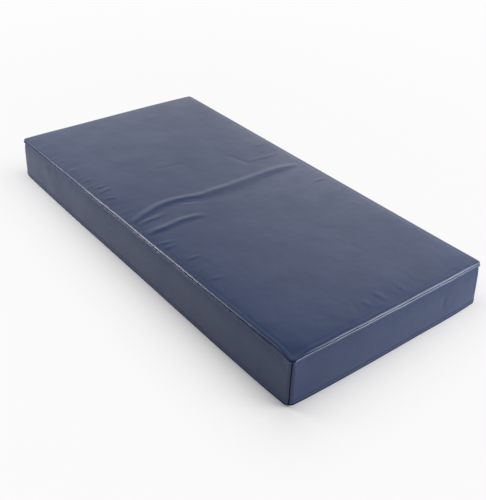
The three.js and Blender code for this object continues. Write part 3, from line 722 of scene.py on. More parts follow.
def coated_fabric():
    """Navy fabric with a fine-grained soft coating: satin, unevenly glossy, rubbed lighter at its edges,
    partly as a painted highlight, with painted shade in the seams' grooves.
    """
    cover = bpy.context.scene.mattress.cover
    material, shader, nodes, place = new_material("Coated fabric")
    wear_and_painted_light = nodes.add("ShaderNodeAttribute", {"attribute_name": "wear_and_painted_light"}).outputs["Fac"]
    grain = nodes.add("ShaderNodeTexVoronoi", {"feature": "SMOOTH_F1"}, Vector=place,
                      Scale=1 / cover.grain_size, Smoothness=0.6).outputs["Distance"]
    pores = nodes.noise(place, 0.7 / cover.grain_size, 3.0, 0.6)
    cloud = nodes.noise(place, 14.0, 4.0, 0.55)
    streak = nodes.noise(place, 60.0, 3.0, 0.6)
    handling = nodes.noise(place, 5.0, 2.0, 0.5)
    base = nodes.mix(nodes.mapped(cloud, 0.3, 0.7, 0.0, 1.0), (*cover.colour_dark, 1), (*cover.colour, 1))
    # Rubbed cloth is lighter. Over the rolled crests and lips that lighter colour is partly a painted
    # highlight
    rubbed_and_highlight = nodes.math("MULTIPLY", nodes.mapped(wear_and_painted_light, 0.0, 1.0, 0.0, 0.6),
                        nodes.mapped(streak, 0.35, 0.65, 0.6, 1.0))
    base = nodes.mix(rubbed_and_highlight, base, (*cover.colour_worn_highlight, 1))
    pits = nodes.mapped(grain, 0.0, 0.6, 0.0, 0.16)
    base = nodes.mix(pits, base, (*cover.colour_dark, 1))
    # Painted shade: inside the seams' grooves the colour darkens and the reflection weakens
    grooved = nodes.mapped(wear_and_painted_light, -1.0, 0.0, 0.25, 1.0)
    nodes.put(shader.inputs["Specular IOR Level"], nodes.math("MULTIPLY", grooved, 0.5))
    base = nodes.mix(grooved, tuple(0.25 * c for c in cover.colour_dark) + (1,), base)
    nodes.put(shader.inputs["Base Color"], base)
    uneven = nodes.math("ADD", nodes.math("MULTIPLY", cloud, 0.5), nodes.math("MULTIPLY", handling, 0.5))
    gloss = nodes.mapped(uneven, 0.35, 0.65, cover.roughness + 0.035, cover.roughness - 0.035)
    gloss = nodes.math("SUBTRACT", gloss, nodes.math("MULTIPLY", wear_and_painted_light, 0.02))
    gloss = nodes.math("ADD", gloss, nodes.math("MULTIPLY", streak, 0.04))
    nodes.put(shader.inputs["Roughness"], gloss)
    shader.inputs["IOR"].default_value = 1.5
    height = nodes.math("ADD", nodes.math("MULTIPLY", grain, -1.0), nodes.math("MULTIPLY", pores, 0.7))
    crumple = nodes.add("ShaderNodeTexNoise", Vector=place, Scale=21.0, Detail=3.0, Roughness=0.5,
                        Distortion=0.5).outputs["Fac"]
    soft = nodes.bump(crumple, cover.crumple, 0.42)
    fine = nodes.bump(height, cover.grain_size * 0.16, 0.5, soft)
    nodes.put(shader.inputs["Normal"], fine)
    return material


def foam_material():
    """Cut polyurethane foam: cream, matt, full of small open cells."""
    foam = bpy.context.scene.mattress.foam
    material, shader, nodes, place = new_material("Cut foam")
    cells = nodes.add("ShaderNodeTexVoronoi", Vector=place, Scale=1 / foam.cell_size).outputs["Distance"]
    cloud = nodes.noise(place, 9.0, 4.0, 0.6)
    tone = nodes.mix(nodes.mapped(cloud, 0.3, 0.7, 0.0, 1.0), (*foam.colour, 1), (*foam.colour_aged, 1))
    tone = nodes.mix(nodes.mapped(cells, 0.0, 0.5, 0.35, 0.0), tone, (*foam.colour_aged, 1), "MULTIPLY")
    # The shade behind the gap between the zip's tapes
    middle = (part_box("zip_tape_upper")[0].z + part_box("zip_tape_lower")[1].z) / 2
    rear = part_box("foam_core")[1].y
    axes = nodes.add("ShaderNodeSeparateXYZ", Vector=place).outputs
    away = nodes.math("ABSOLUTE", nodes.math("SUBTRACT", axes["Z"], middle))
    behind = nodes.mapped(axes["Y"], rear - GAP_SHADE_DEPTH[0], rear - GAP_SHADE_DEPTH[1], 0.0, 1.0)
    shade = nodes.math("MULTIPLY", nodes.mapped(away, GAP_SHADE, GAP_SHADE * 2, 1.0, 0.0), behind)
    tone = nodes.mix(shade, tone, (*bpy.context.scene.mattress.zip.tape_shade, 1))
    nodes.put(shader.inputs["Base Color"], tone)
    nodes.put(shader.inputs["Roughness"], nodes.mapped(cells, 0.0, 0.5, 0.98, 0.86))
    nodes.put(shader.inputs["Normal"], nodes.bump(cells, foam.cell_size * 0.4, 0.8))
    return material


def woven_tape():
    """Herringbone polyester tape."""
    zipper = bpy.context.scene.mattress.zip
    material, shader, nodes, place = new_material("Woven zip tape")
    weave = []
    for turn in (1, -1):
        slant = nodes.add("ShaderNodeMapping", Vector=place, Rotation=(0, turn * math.radians(45), 0))
        wave = nodes.add("ShaderNodeTexWave", {"wave_type": "BANDS", "bands_direction": "X"},
                         Vector=slant.outputs[0], Scale=zipper.weave_scale, Distortion=0.6, Detail=1.0)
        weave.append(wave.outputs["Fac"])
    crossed = nodes.math("MAXIMUM", *weave)
    cloud = nodes.noise(place, 40.0, 3.0, 0.6)
    tone = nodes.mix(nodes.mapped(crossed, 0.2, 0.9, 0.0, 1.0), (*zipper.tape_shade, 1),
                     (*zipper.tape_colour, 1))
    tone = nodes.mix(nodes.mapped(cloud, 0.3, 0.7, 0, 0.35), tone, (*zipper.tape_shade, 1))
    nodes.put(shader.inputs["Base Color"], tone)
    nodes.put(shader.inputs["Roughness"], nodes.mapped(crossed, 0.0, 1.0, 0.9, 0.72))
    nodes.put(shader.inputs["Normal"], nodes.bump(crossed, 0.00018, 0.8))
    shader.inputs["Sheen Weight"].default_value = 0.25
    return material


def filament(name, colour, shade, roughness, scale):
    """Drawn or twisted filament, for the coil and the thread."""
    material, shader, nodes, place = new_material(name)
    grain = nodes.noise(place, scale, 3.0, 0.6)
    tone = nodes.mix(nodes.mapped(grain, 0.3, 0.7, 0.0, 1.0), (*shade, 1), (*colour, 1))
    nodes.put(shader.inputs["Base Color"], tone)
    nodes.put(shader.inputs["Roughness"], nodes.mapped(grain, 0.3, 0.7, roughness + 0.08, roughness - 0.08))
    nodes.put(shader.inputs["Normal"], nodes.bump(grain, 0.00004, 0.5))
    return material


def plated_metal():
    """Satin nickel plating with fine scratches."""
    zipper = bpy.context.scene.mattress.zip
    material, shader, nodes, place = new_material("Plated zip metal")
    cloud = nodes.noise(place, 220.0, 4.0, 0.6)
    stretched = nodes.add("ShaderNodeMapping", Vector=place, Scale=(0.08, 1, 1), Rotation=(0, 0.2, 0))
    scratch = nodes.noise(stretched.outputs[0], 5200.0, 2.0, 0.7)
    tone = nodes.mix(nodes.mapped(cloud, 0.3, 0.7, 0, 1), (*zipper.metal_shade, 1), (*zipper.metal_colour, 1))
    nodes.put(shader.inputs["Base Color"], tone)
    shader.inputs["Metallic"].default_value = 1.0
    rough = nodes.math("ADD", nodes.mapped(cloud, 0.3, 0.7, 0.3, 0.2),
                       nodes.mapped(scratch, 0.5, 0.75, 0.0, 0.14))
    nodes.put(shader.inputs["Roughness"], rough)
    nodes.put(shader.inputs["Normal"], nodes.bump(scratch, 0.00003, 0.35))
    return material


def material_named(name, make):
    return bpy.data.materials.get(name) or make()


def cover_material():
    return material_named("Coated fabric", coated_fabric)


def thread_material():
    zipper = bpy.context.scene.mattress.zip
    return material_named("Sewing thread", lambda: filament(
        "Sewing thread", zipper.thread_colour, zipper.tape_shade, 0.62, 2600.0))


def dress(piece, body, slot, *nodes):
    """Says which body carries a piece and hides the CAD nodes that it stands for. Its slot is not used."""
    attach(piece, body)
    if nodes:
        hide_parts(*nodes)


# Geometry nodes

class Tree(Nodes):
    """A geometry node tree with named inputs, and a modifier that runs it once."""

    def __init__(self, name, inputs):
        super().__init__(bpy.data.node_groups.new(name, "GeometryNodeTree"))
        face = self.tree.interface
        face.new_socket("Geometry", in_out="INPUT", socket_type="NodeSocketGeometry")
        self.sockets = {}
        for label, kind in inputs.items():
            self.sockets[label] = face.new_socket(label, in_out="INPUT", socket_type="NodeSocket" + kind)
        face.new_socket("Geometry", in_out="OUTPUT", socket_type="NodeSocketGeometry")
        self.start = self.tree.nodes.new("NodeGroupInput")
        self.end = self.tree.nodes.new("NodeGroupOutput")

    def given(self, label):
        return self.start.outputs[label]

    def wire(self, curve, radius):
        """Round thread or filament along a curve."""
        ring = self.add("GeometryNodeCurvePrimitiveCircle", Resolution=5, Radius=radius)
        wire = self.add("GeometryNodeCurveToMesh", Curve=curve, Profile_Curve=ring.outputs[0], Fill_Caps=True)
        return wire.outputs[0]

    def finish(self, geometry):
        real = self.add("GeometryNodeRealizeInstances", Geometry=geometry)
        named = self.add("GeometryNodeSetMaterial", Geometry=real.outputs[0], Material=self.given("Material"))
        self.tree.links.new(named.outputs[0], self.end.inputs[0])

    def run(self, piece, values):
        """Runs the tree on a piece with these values, and keeps the result as a plain mesh."""
        modifier = piece.modifiers.new("Build", "NODES")
        modifier.node_group = self.tree
        for label, value in values.items():
            modifier[self.sockets[label].identifier] = value
        bpy.context.view_layer.update()
        mesh = keep_modified(piece)
        mesh.name = piece.name
        mesh.shade_smooth()


def stitch_tree():
    """Stitches of thread along a path that carries the way each one runs and the way out of the cloth."""
    tree = Tree("Stitches", {"Pitch": "Float", "Stitch Length": "Float", "Thread Radius": "Float",
                             "Rise": "Float", "Sink": "Float", "Material": "Material"})
    path = tree.add("GeometryNodeMeshToCurve", Mesh=tree.given("Geometry"))
    spaced = tree.add("GeometryNodeResampleCurve", {"mode": "LENGTH"}, Curve=path.outputs[0],
                      Length=tree.given("Pitch"))
    half = tree.math("MULTIPLY", tree.given("Stitch Length"), 0.5)
    back = tree.math("MULTIPLY", half, -1.0)
    down = tree.math("MULTIPLY", tree.given("Sink"), -1.0)
    ends = [tree.add("ShaderNodeCombineXYZ", X=end, Z=down).outputs[0] for end in (back, half)]
    top = tree.add("ShaderNodeCombineXYZ", Z=tree.given("Rise"))
    arch = tree.add("GeometryNodeCurveQuadraticBezier", Resolution=4, Start=ends[0], Middle=top.outputs[0],
                    End=ends[1])
    stitch = tree.wire(arch.outputs[0], tree.given("Thread Radius"))
    run = tree.add("GeometryNodeInputNamedAttribute", {"data_type": "FLOAT_VECTOR"}, Name="run")
    out = tree.add("GeometryNodeInputNamedAttribute", {"data_type": "FLOAT_VECTOR"}, Name="out")
    turn = tree.add("FunctionNodeAxesToRotation", {"primary_axis": "X", "secondary_axis": "Z"},
                    Primary_Axis=run.outputs[0], Secondary_Axis=out.outputs[0])
    placed = tree.add("GeometryNodeInstanceOnPoints", Points=spaced.outputs[0], Instance=stitch,
                      Rotation=turn.outputs[0])
    tree.finish(placed.outputs[0])
    return tree


def coil_tree():
    """One side of a coil zip: a flattened spiral of drawn filament along X."""
    tree = Tree("Zip coil", {"Turns": "Float", "Length": "Float", "Wire Radius": "Float",
                             "Flatten": "Vector", "Place": "Vector", "Material": "Material"})
    spiral = tree.add("GeometryNodeCurveSpiral", Resolution=9, Rotations=tree.given("Turns"),
                      Start_Radius=1.0, End_Radius=1.0, Height=tree.given("Length"))
    flat = tree.add("GeometryNodeTransform", Geometry=spiral.outputs[0], Scale=tree.given("Flatten"))
    turned = tree.add("GeometryNodeTransform", Geometry=flat.outputs[0], Rotation=(0, math.pi / 2, 0),
                      Translation=tree.given("Place"))
    tree.finish(tree.wire(turned.outputs[0], tree.given("Wire Radius")))
    return tree


def path_piece(name, runs):
    """A mesh of edges for stitches. A run is points, the way a stitch runs, the way out, and if it closes."""
    points, edges, run_ways, out_ways = [], [], [], []
    for places, run, out, closed in runs:
        first = len(points)
        count = len(places)
        points += np.asarray(places).tolist()
        run_ways.append(np.broadcast_to(run, (count, 3)))
        out_ways.append(np.broadcast_to(out, (count, 3)))
        edges += [(first + i, first + i + 1) for i in range(count - 1)]
        if closed:
            edges.append((first + count - 1, first))
    mesh = bpy.data.meshes.new(name)
    mesh.from_pydata(points, edges, [])
    for label, ways in (("run", run_ways), ("out", out_ways)):
        layer = mesh.attributes.new(label, "FLOAT_VECTOR", "POINT")
        layer.data.foreach_set("vector", np.concatenate(ways).astype(np.float32).ravel())
    return linked(name, mesh)


# Settings

def amount(name, description, default, **kind):
    return FloatProperty(name=name, description=description, default=default, **kind)


def length(name, description, default):
    return amount(name, description, default, subtype="DISTANCE", unit="LENGTH", precision=5)


def colour(name, description, default):
    return FloatVectorProperty(name=name, description=description, default=default, subtype="COLOR", size=3,
                               min=0.0, max=1.0)


def power(name, description, default):
    return amount(name, description, default, subtype="POWER", unit="POWER")


def angle(name, description, degrees):
    return amount(name, description, math.radians(degrees), subtype="ANGLE")


class CoverSettings(bpy.types.PropertyGroup):
    half_length: length("Half length", "Half the length of the cover", HALF_LENGTH)
    half_width: length("Half width", "Half the width of the cover", HALF_WIDTH)
    corner_radius: length("Corner radius", "Radius of the upright corners", 16 * MM)
    edge_height: length("Edge height", "Height of the top at its edges", 123.5 * MM)
    crown: length("Crown", "Rise of the top between its edges", 2 * MM)
    end_shoulder: length("End shoulder", "Width over which the top falls to its ends", 24 * MM)
    side_shoulder: length("Side shoulder", "Width over which the top falls to its sides", 22 * MM)
    thickness: length("Thickness", "Thickness of the coated fabric", 0.8 * MM)
    allowance: length("Seam allowance", "Cloth beyond each seam", 10 * MM)
    fold_rise: amount("Fold rise", "Height of the folds and puckers against those measured", 1.0)
    unevenness: amount("Unevenness", "Depth of the soft unevenness of the cloth", 1.0)
    colour: colour("Colour", "Main colour of the coating", (0.016, 0.038, 0.12))
    colour_dark: colour("Dark colour", "Colour of the coating in its hollows", (0.0125, 0.031, 0.1))
    # Rubbed colour, which also serves as a painted highlight along the rolled crests and lips
    colour_worn_highlight: colour("Worn colour", "Colour of the coating where it is rubbed", (0.03, 0.068, 0.2))
    roughness: amount("Roughness", "Roughness of the coating", 0.335, min=0, max=1)
    crumple: length("Crumple", "Depth of the small creases pressed into the coating", 1.5 * MM)
    grain_size: length("Grain size", "Size of the coating's grain", 1.1 * MM)


class FoamSettings(bpy.types.PropertyGroup):
    clearance: length("Clearance", "Space between the foam and its cover", 0.3 * MM)
    cell_size: length("Cell size", "Size of the foam's cells", 1.3 * MM)
    colour: colour("Colour", "Colour of fresh foam", (0.78, 0.72, 0.54))
    colour_aged: colour("Aged colour", "Colour of foam in its cells and where it has yellowed",
                        (0.66, 0.56, 0.34))


class ZipSettings(bpy.types.PropertyGroup):
    coil_pitch: length("Coil pitch", "Distance between the turns of a coil", 1.35 * MM)
    wire_radius: length("Wire radius", "Radius of the coil's filament", 0.29 * MM)
    weave_scale: amount("Weave scale", "Fineness of the tape's weave", 260.0)
    stitch_pitch: length("Stitch pitch", "Distance between the stitches beside the zip", 3.3 * MM)
    stitch_length: length("Stitch length", "Length of a stitch beside the zip", 2.7 * MM)
    seam_pitch: length("Seam stitch pitch", "Distance between the stitches in a seam", 3.6 * MM)
    thread_radius: length("Thread radius", "Radius of the sewing thread", 0.2 * MM)
    tape_colour: colour("Tape colour", "Colour of the tape's raised yarns", (0.013, 0.022, 0.055))
    tape_shade: colour("Tape shade", "Colour between the tape's yarns", (0.005, 0.009, 0.024))
    coil_colour: colour("Coil colour", "Colour of the coil", (0.012, 0.02, 0.05))
    thread_colour: colour("Thread colour", "Colour of the sewing thread", (0.02, 0.035, 0.1))
    metal_colour: colour("Metal colour", "Colour of the plated metal", (0.62, 0.62, 0.61))
    metal_shade: colour("Metal shade", "Colour of the metal where it has dulled", (0.42, 0.42, 0.43))


class StudioSettings(bpy.types.PropertyGroup):
    floor_colour: colour("Floor colour", "Colour of the floor", (0.93, 0.92, 0.925))
    floor_fade: length("Floor fade", "Distance over which the floor turns into the white background", 0.055)
    floor_shade: amount("Floor shade", "Share of the floor's own shading at the mattress", 0.84)
    room_strength: amount("Room light", "Strength of the even light of the room", 0.1)
    wall_strength: amount("Wall light", "Strength of the bright walls in the gloss", 0.85)
    ceiling_strength: amount("Ceiling light", "Strength of the dim ceiling in the gloss", 0.38)
    right_power: power("Right lamp", "Power of the soft box at the right, behind", 28.0)
    far_power: power("Far lamp", "Power of the soft box at the right rear corner", 33.0)
    left_power: power("Left lamp", "Power of the soft box at the left, in front", 23.0)
    back_power: power("Back lamp", "Power of the broad soft box behind", 9.5)
    rear_power: power("Rear lamp", "Power of the high soft box behind", 8.5)
    camera_place: FloatVectorProperty(name="Camera place", description="Where the camera stands", size=3,
                                      default=(1.3772, -1.0748, 1.1114), subtype="XYZ", unit="LENGTH")
    camera_azimuth: angle("Azimuth", "Way round the mattress to the camera", 50.483)
    camera_elevation: angle("Elevation", "Height angle of the camera", 33.799)
    camera_roll: angle("Roll", "Tilt of the camera", 2.429)
    lens: amount("Lens", "Focal length of the camera in millimetres", 54.976)


class MattressSettings(bpy.types.PropertyGroup):
    cover: PointerProperty(type=CoverSettings)
    foam: PointerProperty(type=FoamSettings)
    zip: PointerProperty(type=ZipSettings)
    studio: PointerProperty(type=StudioSettings)


# Pieces

class MATTRESS_OT_foam_block(bpy.types.Operator):
    """Make the foam block that fills the cover"""

    bl_idname = "mattress.foam_block"
    bl_label = "Foam block"

    def execute(self, context):
        cover, foam = context.scene.mattress.cover, context.scene.mattress.foam
        columns, rows = even_lines(16)
        stations = stations_round(columns, rows)
        inset = cover.thickness + foam.clearance
        grid_x, grid_y = following_sides(columns, rows, SEAM_HIGH)
        # Leaves room for the hollows of the cover
        slack = 1.2 * MM
        top = cover.edge_height + crown_at(grid_x, grid_y) * 0.9 - inset - slack
        top += np.minimum(relief_at(grid_x, grid_y), 0) + 0.15 * MM * wobble(grid_x, grid_y, 0, 0.03, 5.5)
        top -= corner_fall(grid_x, grid_y) + seam_dip(grid_x, grid_y)
        field = np.stack([grid_x, grid_y, top], axis=-1).reshape(-1, 3)
        base_x, base_y = following_sides(columns, rows, SEAM_LOW)
        base = np.stack([base_x, base_y, np.full(base_x.shape, inset)], axis=-1).reshape(-1, 3)
        behind_zip = stations.out[:, 1] > 0.999
        corner = np.sin(np.radians(2 * stations.turn)) ** 2
        seam = FOAM_AT_SEAM + FOAM_AT_CORNER * corner
        wall = np.where(behind_zip, FOAM_BEHIND_ZIP, FOAM_AT_WALL + FOAM_AT_CORNER * corner)
        reach = cover.allowance + 2 * MM
        edge = cover.edge_height
        rings = [(11 * MM, edge - inset - slack), (7 * MM, edge - 3 * MM), (5.5 * MM, edge - 4.2 * MM)]
        rings += [(seam + 0.8 * MM, edge - 7 * MM)]
        rings += [(seam, SEAM_HIGH - reach), (wall, SEAM_HIGH - reach - 2 * MM)]
        rings += [(wall, z) for z in np.linspace(SEAM_HIGH - 20 * MM, SEAM_LOW + 20 * MM, 9)]
        rings += [(wall, SEAM_LOW + reach + 2 * MM), (seam, SEAM_LOW + reach)]
        rings += [(seam, 8 * MM), (5 * MM, 3.4 * MM), (9 * MM, inset)]
        sides = []
        for depth, z in rings:
            ring = stations.places(depth, z)
            x, y = ring[:, 0], ring[:, 1]
            # The hollows of the cover reach down into the shoulder of the foam
            sunk = eased((ring[:, 2] - edge + 9 * MM) / (6 * MM))
            ring[:, 2] += (np.minimum(relief_at(x, y), 0) - corner_fall(x, y)) * sunk
            sides.append(ring)
        points, quads = stacked(field, sides, base, grid_x.shape)
        block = make_mesh("foam_block", points, quads, material_named("Cut foam", foam_material))
        dress(block, "mattress", "foam", "foam_core")
        return {"FINISHED"}


class MATTRESS_OT_top_panel(bpy.types.Operator):
    """Make the top panel, with its folds, its rolled edge and its seam allowance"""

    bl_idname = "mattress.top_panel"
    bl_label = "Top panel"

    def execute(self, context):
        cover = context.scene.mattress.cover
        # The lines lie closest where the folds are
        columns = lines_between((-FIELD_X, -290, 6), (-290, -120, 4), (-120, 110, 3), (110, 310, 4.4),
                                (310, FIELD_X, 6))
        rows = lines_between((-FIELD_Y, -216, 4), (-216, FIELD_Y, 6))
        roll = [(depth * MM, cover.edge_height - drop * MM) for depth, drop in ROLL]
        panel = panel_piece(
            "top_panel", columns, rows, cover_material(),
            lambda x, y: cover.edge_height + crown_at(x, y) - corner_fall(x, y) - seam_dip(x, y),
            roll, SEAM_HIGH, 1, relief_at)
        dress(panel, "mattress", "coated_fabric", "cover_top_panel")
        return {"FINISHED"}


class MATTRESS_OT_bottom_panel(bpy.types.Operator):
    """Make the bottom panel that the mattress lies on"""

    bl_idname = "mattress.bottom_panel"
    bl_label = "Bottom panel"

    def execute(self, context):
        columns, rows = even_lines(9)
        roll = [(depth * MM, z * MM) for depth, z in FOOT_ROLL]

        def height(x, y):
            inside = eased((HALF_LENGTH - 20 * MM - np.abs(x)) / 0.05)
            inside = inside * eased((HALF_WIDTH - 20 * MM - np.abs(y)) / 0.05)
            dents = np.maximum(wobble(x, y, 0, 0.07, 31.0) + 0.5 * wobble(x, y, 0, 0.025, 36.0), 0)
            return 0.25 * MM * dents * inside

        panel = panel_piece("bottom_panel", columns, rows, cover_material(), height, roll, SEAM_LOW, -1)
        dress(panel, "mattress", "coated_fabric", "cover_bottom_panel")
        return {"FINISHED"}


class MATTRESS_OT_borders(bpy.types.Operator):
    """Make the upright borders and the two pieces that end the rear border"""

    bl_idname = "mattress.borders"
    bl_label = "Borders"

    def execute(self, context):
        heights = heights_between(BORDER_LOW, BORDER_HIGH, True, True)
        face = border_profile(heights, BORDER_LOW, BORDER_HIGH, 0.35, 1.0)
        step = 5 * MM
        end = ZIP_PANEL_HALF_LENGTH
        # A known weakness: the rear ends are listed as 62 mm long, though their cloth with full allowances
        # would be 71.6 mm. The mesh lacks that folded cloth, and at the full size it fails the area check.
        runs = (
            ("front_border", "front", "seam", "seam", "border_front", 1.21, FRONT_HOLLOWS),
            ("right_border", "right", "seam", "seam", "border_right", 0.62, RIGHT_HOLLOWS),
            ("left_border", "left", "seam", "seam", "border_left", 0.62, ()),
            ("rear_right_end", "rear", "seam", -end, "border_rear_right_end", 0.062, ()),
            ("rear_left_end", "rear", end, "seam", "border_rear_left_end", 0.062, ()),
        )
        for name, side, start, stop, node, cut, hollows in runs:
            stations = border_stations(side, start, stop, step)
            piece = border_piece(name, stations, heights, face, cover_material(), hollows)
            dress(piece, "mattress", "coated_fabric", node)
        return {"FINISHED"}


class MATTRESS_OT_zip_strips(bpy.types.Operator):
    """Make the upper and lower strips of the rear border, whose folded edges lie along the zip"""

    bl_idname = "mattress.zip_strips"
    bl_label = "Zip strips"

    def execute(self, context):
        end = ZIP_PANEL_HALF_LENGTH
        stations = border_stations("rear", -end, end, 6 * MM)
        # A known weakness: with full hems the cloth would be 74.6 and 72.6 mm wide and 1110 mm long. The
        # meshes lack part of it, and the lower one fails the area check at its full size.
        above_zip, below_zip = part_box("zip_strip_upper")[0].z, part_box("zip_strip_lower")[1].z
        for name, node, bottom, top, lips, cut in (
            ("rear_strip_upper", "zip_strip_upper", above_zip, BORDER_HIGH, (None, 1.0), 0.0736),
            ("rear_strip_lower", "zip_strip_lower", BORDER_LOW, below_zip, (0.35, None), 0.0706),
        ):
            heights = heights_between(bottom, top, lips[0] is not None, lips[1] is not None)
            face = border_profile(heights, bottom, top, *lips)
            # The folded edge beside the zip, with its topstitching drawn in
            edge = bottom if lips[0] is None else top
            away = np.abs(heights - edge) / MM
            fold = ((0, 0.45), (0.4, -0.05), (1.0, -0.35), (2.0, -0.5), (3.0, -0.3), (4.2, -0.48), (8, -0.5),
                    (11, -0.45), (12.2, 0.05), (14, 0.25), (20, 0.1), (28, 0))
            face = face + np.where(away < 28, through(fold, np.minimum(away, 28)), 0) * MM
            piece = border_piece(name, stations, heights, face, cover_material())
            dress(piece, "mattress", "coated_fabric", node)
        return {"FINISHED"}


class MATTRESS_OT_zip_tapes(bpy.types.Operator):
    """Make the two woven tapes of the zip"""

    bl_idname = "mattress.zip_tapes"
    bl_label = "Zip tapes"

    def execute(self, context):
        material = material_named("Woven zip tape", woven_tape)
        for name, node in (("zip_tape_upper_woven", "zip_tape_upper"),
                           ("zip_tape_lower_woven", "zip_tape_lower")):
            low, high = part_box(node)
            xs = np.linspace(low.x, high.x, 276)
            shares = np.array([0, 0.02, 0.06, 0.12, 0.5, 0.88, 0.94, 0.98, 1.0])
            thin = np.array([0.25, 0.1, 0.0, 0.06, 0.0, 0.06, 0.0, 0.1, 0.25])
            zs = low.z + shares * (high.z - low.z)
            thick = high.y - low.y
            points = []
            for front in (True, False):
                for z, trim in zip(zs, thin):
                    y = high.y - trim * thick if front else low.y + trim * thick
                    points.append(np.column_stack([xs, np.full(len(xs), y), np.full(len(xs), z)]))
            index = np.arange(2 * len(zs) * len(xs)).reshape(2, len(zs), len(xs))
            quads = []
            for row in range(len(zs) - 1):
                quads.append(banded(index[0, row], index[0, row + 1], closed=False))
                quads.append(banded(index[1, row + 1], index[1, row], closed=False))
            quads.append(banded(index[1, 0], index[0, 0], closed=False))
            quads.append(banded(index[0, -1], index[1, -1], closed=False))
            # A known fault: the caps at both ends of a tape face inwards
            for end in (0, -1):
                cap = np.column_stack([index[0, :-1, end], index[1, :-1, end], index[1, 1:, end],
                                       index[0, 1:, end]])
                quads.append(cap if end == -1 else cap[:, ::-1])
            tape = make_mesh(name, np.concatenate(points), np.concatenate(quads), material)
            dress(tape, "mattress", "zip_tape", node)
        return {"FINISHED"}


class MATTRESS_OT_zip_coils(bpy.types.Operator):
    """Wind the two coils of the zip"""

    bl_idname = "mattress.zip_coils"
    bl_label = "Zip coils"

    def execute(self, context):
        zipper = context.scene.mattress.zip
        material = material_named("Coil filament", lambda: filament(
            "Coil filament", zipper.coil_colour, zipper.tape_shade, 0.34, 900.0))
        tree = coil_tree()
        for name, node, phase in (("zip_coil_upper_wound", "zip_coil_upper", 0.0),
                                  ("zip_coil_lower_wound", "zip_coil_lower", 0.5)):
            low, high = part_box(node)
            wire = zipper.wire_radius
            turns = math.floor((high.x - low.x - 2 * wire) / zipper.coil_pitch) - 1
            run = turns * zipper.coil_pitch
            toward = 0.15 * MM * (-1 if node == "zip_coil_upper" else 1)
            half_z = (high.z - low.z) / 2 - wire + 0.07 * MM
            half_y = (high.y - low.y) / 2 - wire
            piece = linked(name, bpy.data.meshes.new(name))
            start = -run / 2 + (phase - 0.25) * zipper.coil_pitch
            tree.run(piece, {
                "Turns": float(turns), "Length": run, "Wire Radius": wire,
                "Flatten": (half_z, half_y, 1.0),
                "Place": (start, (low.y + high.y) / 2, (low.z + high.z) / 2 + toward * 0.5),
                "Material": material,
            })
            dress(piece, "mattress", "zip_coil", node)
        return {"FINISHED"}


class MATTRESS_OT_zip_metal(bpy.types.Operator):
    """Finish the slider, its pull tab and the two stops with rounded edges and plating"""

    bl_idname = "mattress.zip_metal"
    bl_label = "Zip metal"

    def execute(self, context):
        material = material_named("Plated zip metal", plated_metal)
        for name, node, body, radius in (
            ("slider_plated", "zip_slider", "slider", 0.22),
            ("pull_tab_plated", "zip_pull_tab", "tab", 0.22),
            ("stop_closed_end_plated", "zip_stop_closed_end", "mattress", 0.35),
            ("stop_open_end_plated", "zip_stop_open_end", "mattress", 0.35),
        ):
            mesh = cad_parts[node].data.copy()
            mesh.name = name
            piece = linked(name, mesh)
            mesh.materials.clear()
            mesh.materials.append(material)
            weld = piece.modifiers.new("Weld", "WELD")
            weld.merge_threshold = 0.00001
            bevel = piece.modifiers.new("Bevel", "BEVEL")
            bevel.width = radius * MM
            bevel.segments = 3
            bevel.limit_method = "ANGLE"
            bevel.angle_limit = math.radians(35)
            bevel.use_clamp_overlap = True
            bevel.harden_normals = True
            keep_modified(piece)
            dress(piece, body, "zip_metal", node)
        return {"FINISHED"}


class MATTRESS_OT_stitches(bpy.types.Operator):
    """Sew the seams round both panels, the upright seams, and the rows beside the zip"""

    bl_idname = "mattress.stitches"
    bl_label = "Stitches"

    def execute(self, context):
        zipper = context.scene.mattress.zip
        tree = stitch_tree()
        fine = zipper.thread_radius * 0.8

        def sew(name, runs, pitch, size, thread, rise, sink):
            piece = path_piece(name, runs)
            tree.run(piece, {"Pitch": pitch, "Stitch Length": size, "Thread Radius": thread, "Rise": rise,
                             "Sink": sink, "Material": thread_material()})
            dress(piece, "mattress", "zip_tape")

        columns, rows = even_lines(8)
        around = stations_round(columns, rows)
        outward = np.column_stack([around.out, np.zeros(len(around.out))])
        upright = np.array([0.0, 0.0, 1.0])
        for name, z in (("seam_stitches_top", SEAM_HIGH), ("seam_stitches_bottom", SEAM_LOW)):
            places = around.places(2.6 * MM, z)
            sew(name, [(places, upright, outward, True)], zipper.seam_pitch, 1.3 * MM, fine, 0.1 * MM,
                0.15 * MM)
        runs = []
        heights = np.linspace(SEAM_LOW + 2 * MM, SEAM_HIGH - 2 * MM, 24)
        for side in OUT_DEGREES:
            seam = Stations([side], [1.0], [45.0], [0.0])
            places = np.concatenate([seam.places(1.05 * MM, z) for z in heights])
            runs.append((places, np.append(seam.run[0], 0.0), np.append(seam.out[0], 0.0), False))
        sew("seam_stitches_upright", runs, zipper.seam_pitch, 1.2 * MM, fine, 0.1 * MM, 0.15 * MM)
        runs = []
        face = HALF_WIDTH + 0.34 * MM
        reach = ZIP_PANEL_HALF_LENGTH - 3 * MM
        line = np.linspace(-reach, reach, 60)
        for node, edge, sign in (("zip_strip_upper", 0, 1), ("zip_strip_lower", 1, -1)):
            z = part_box(node)[edge].z + sign * 3.0 * MM
            places = np.column_stack([line, np.full(len(line), face), np.full(len(line), z)])
            runs.append((places, np.array([1.0, 0, 0]), np.array([0, 1.0, 0]), False))
        sew("zip_topstitching", runs, zipper.stitch_pitch, zipper.stitch_length, zipper.thread_radius,
            0.28 * MM, 0.2 * MM)
        return {"FINISHED"}


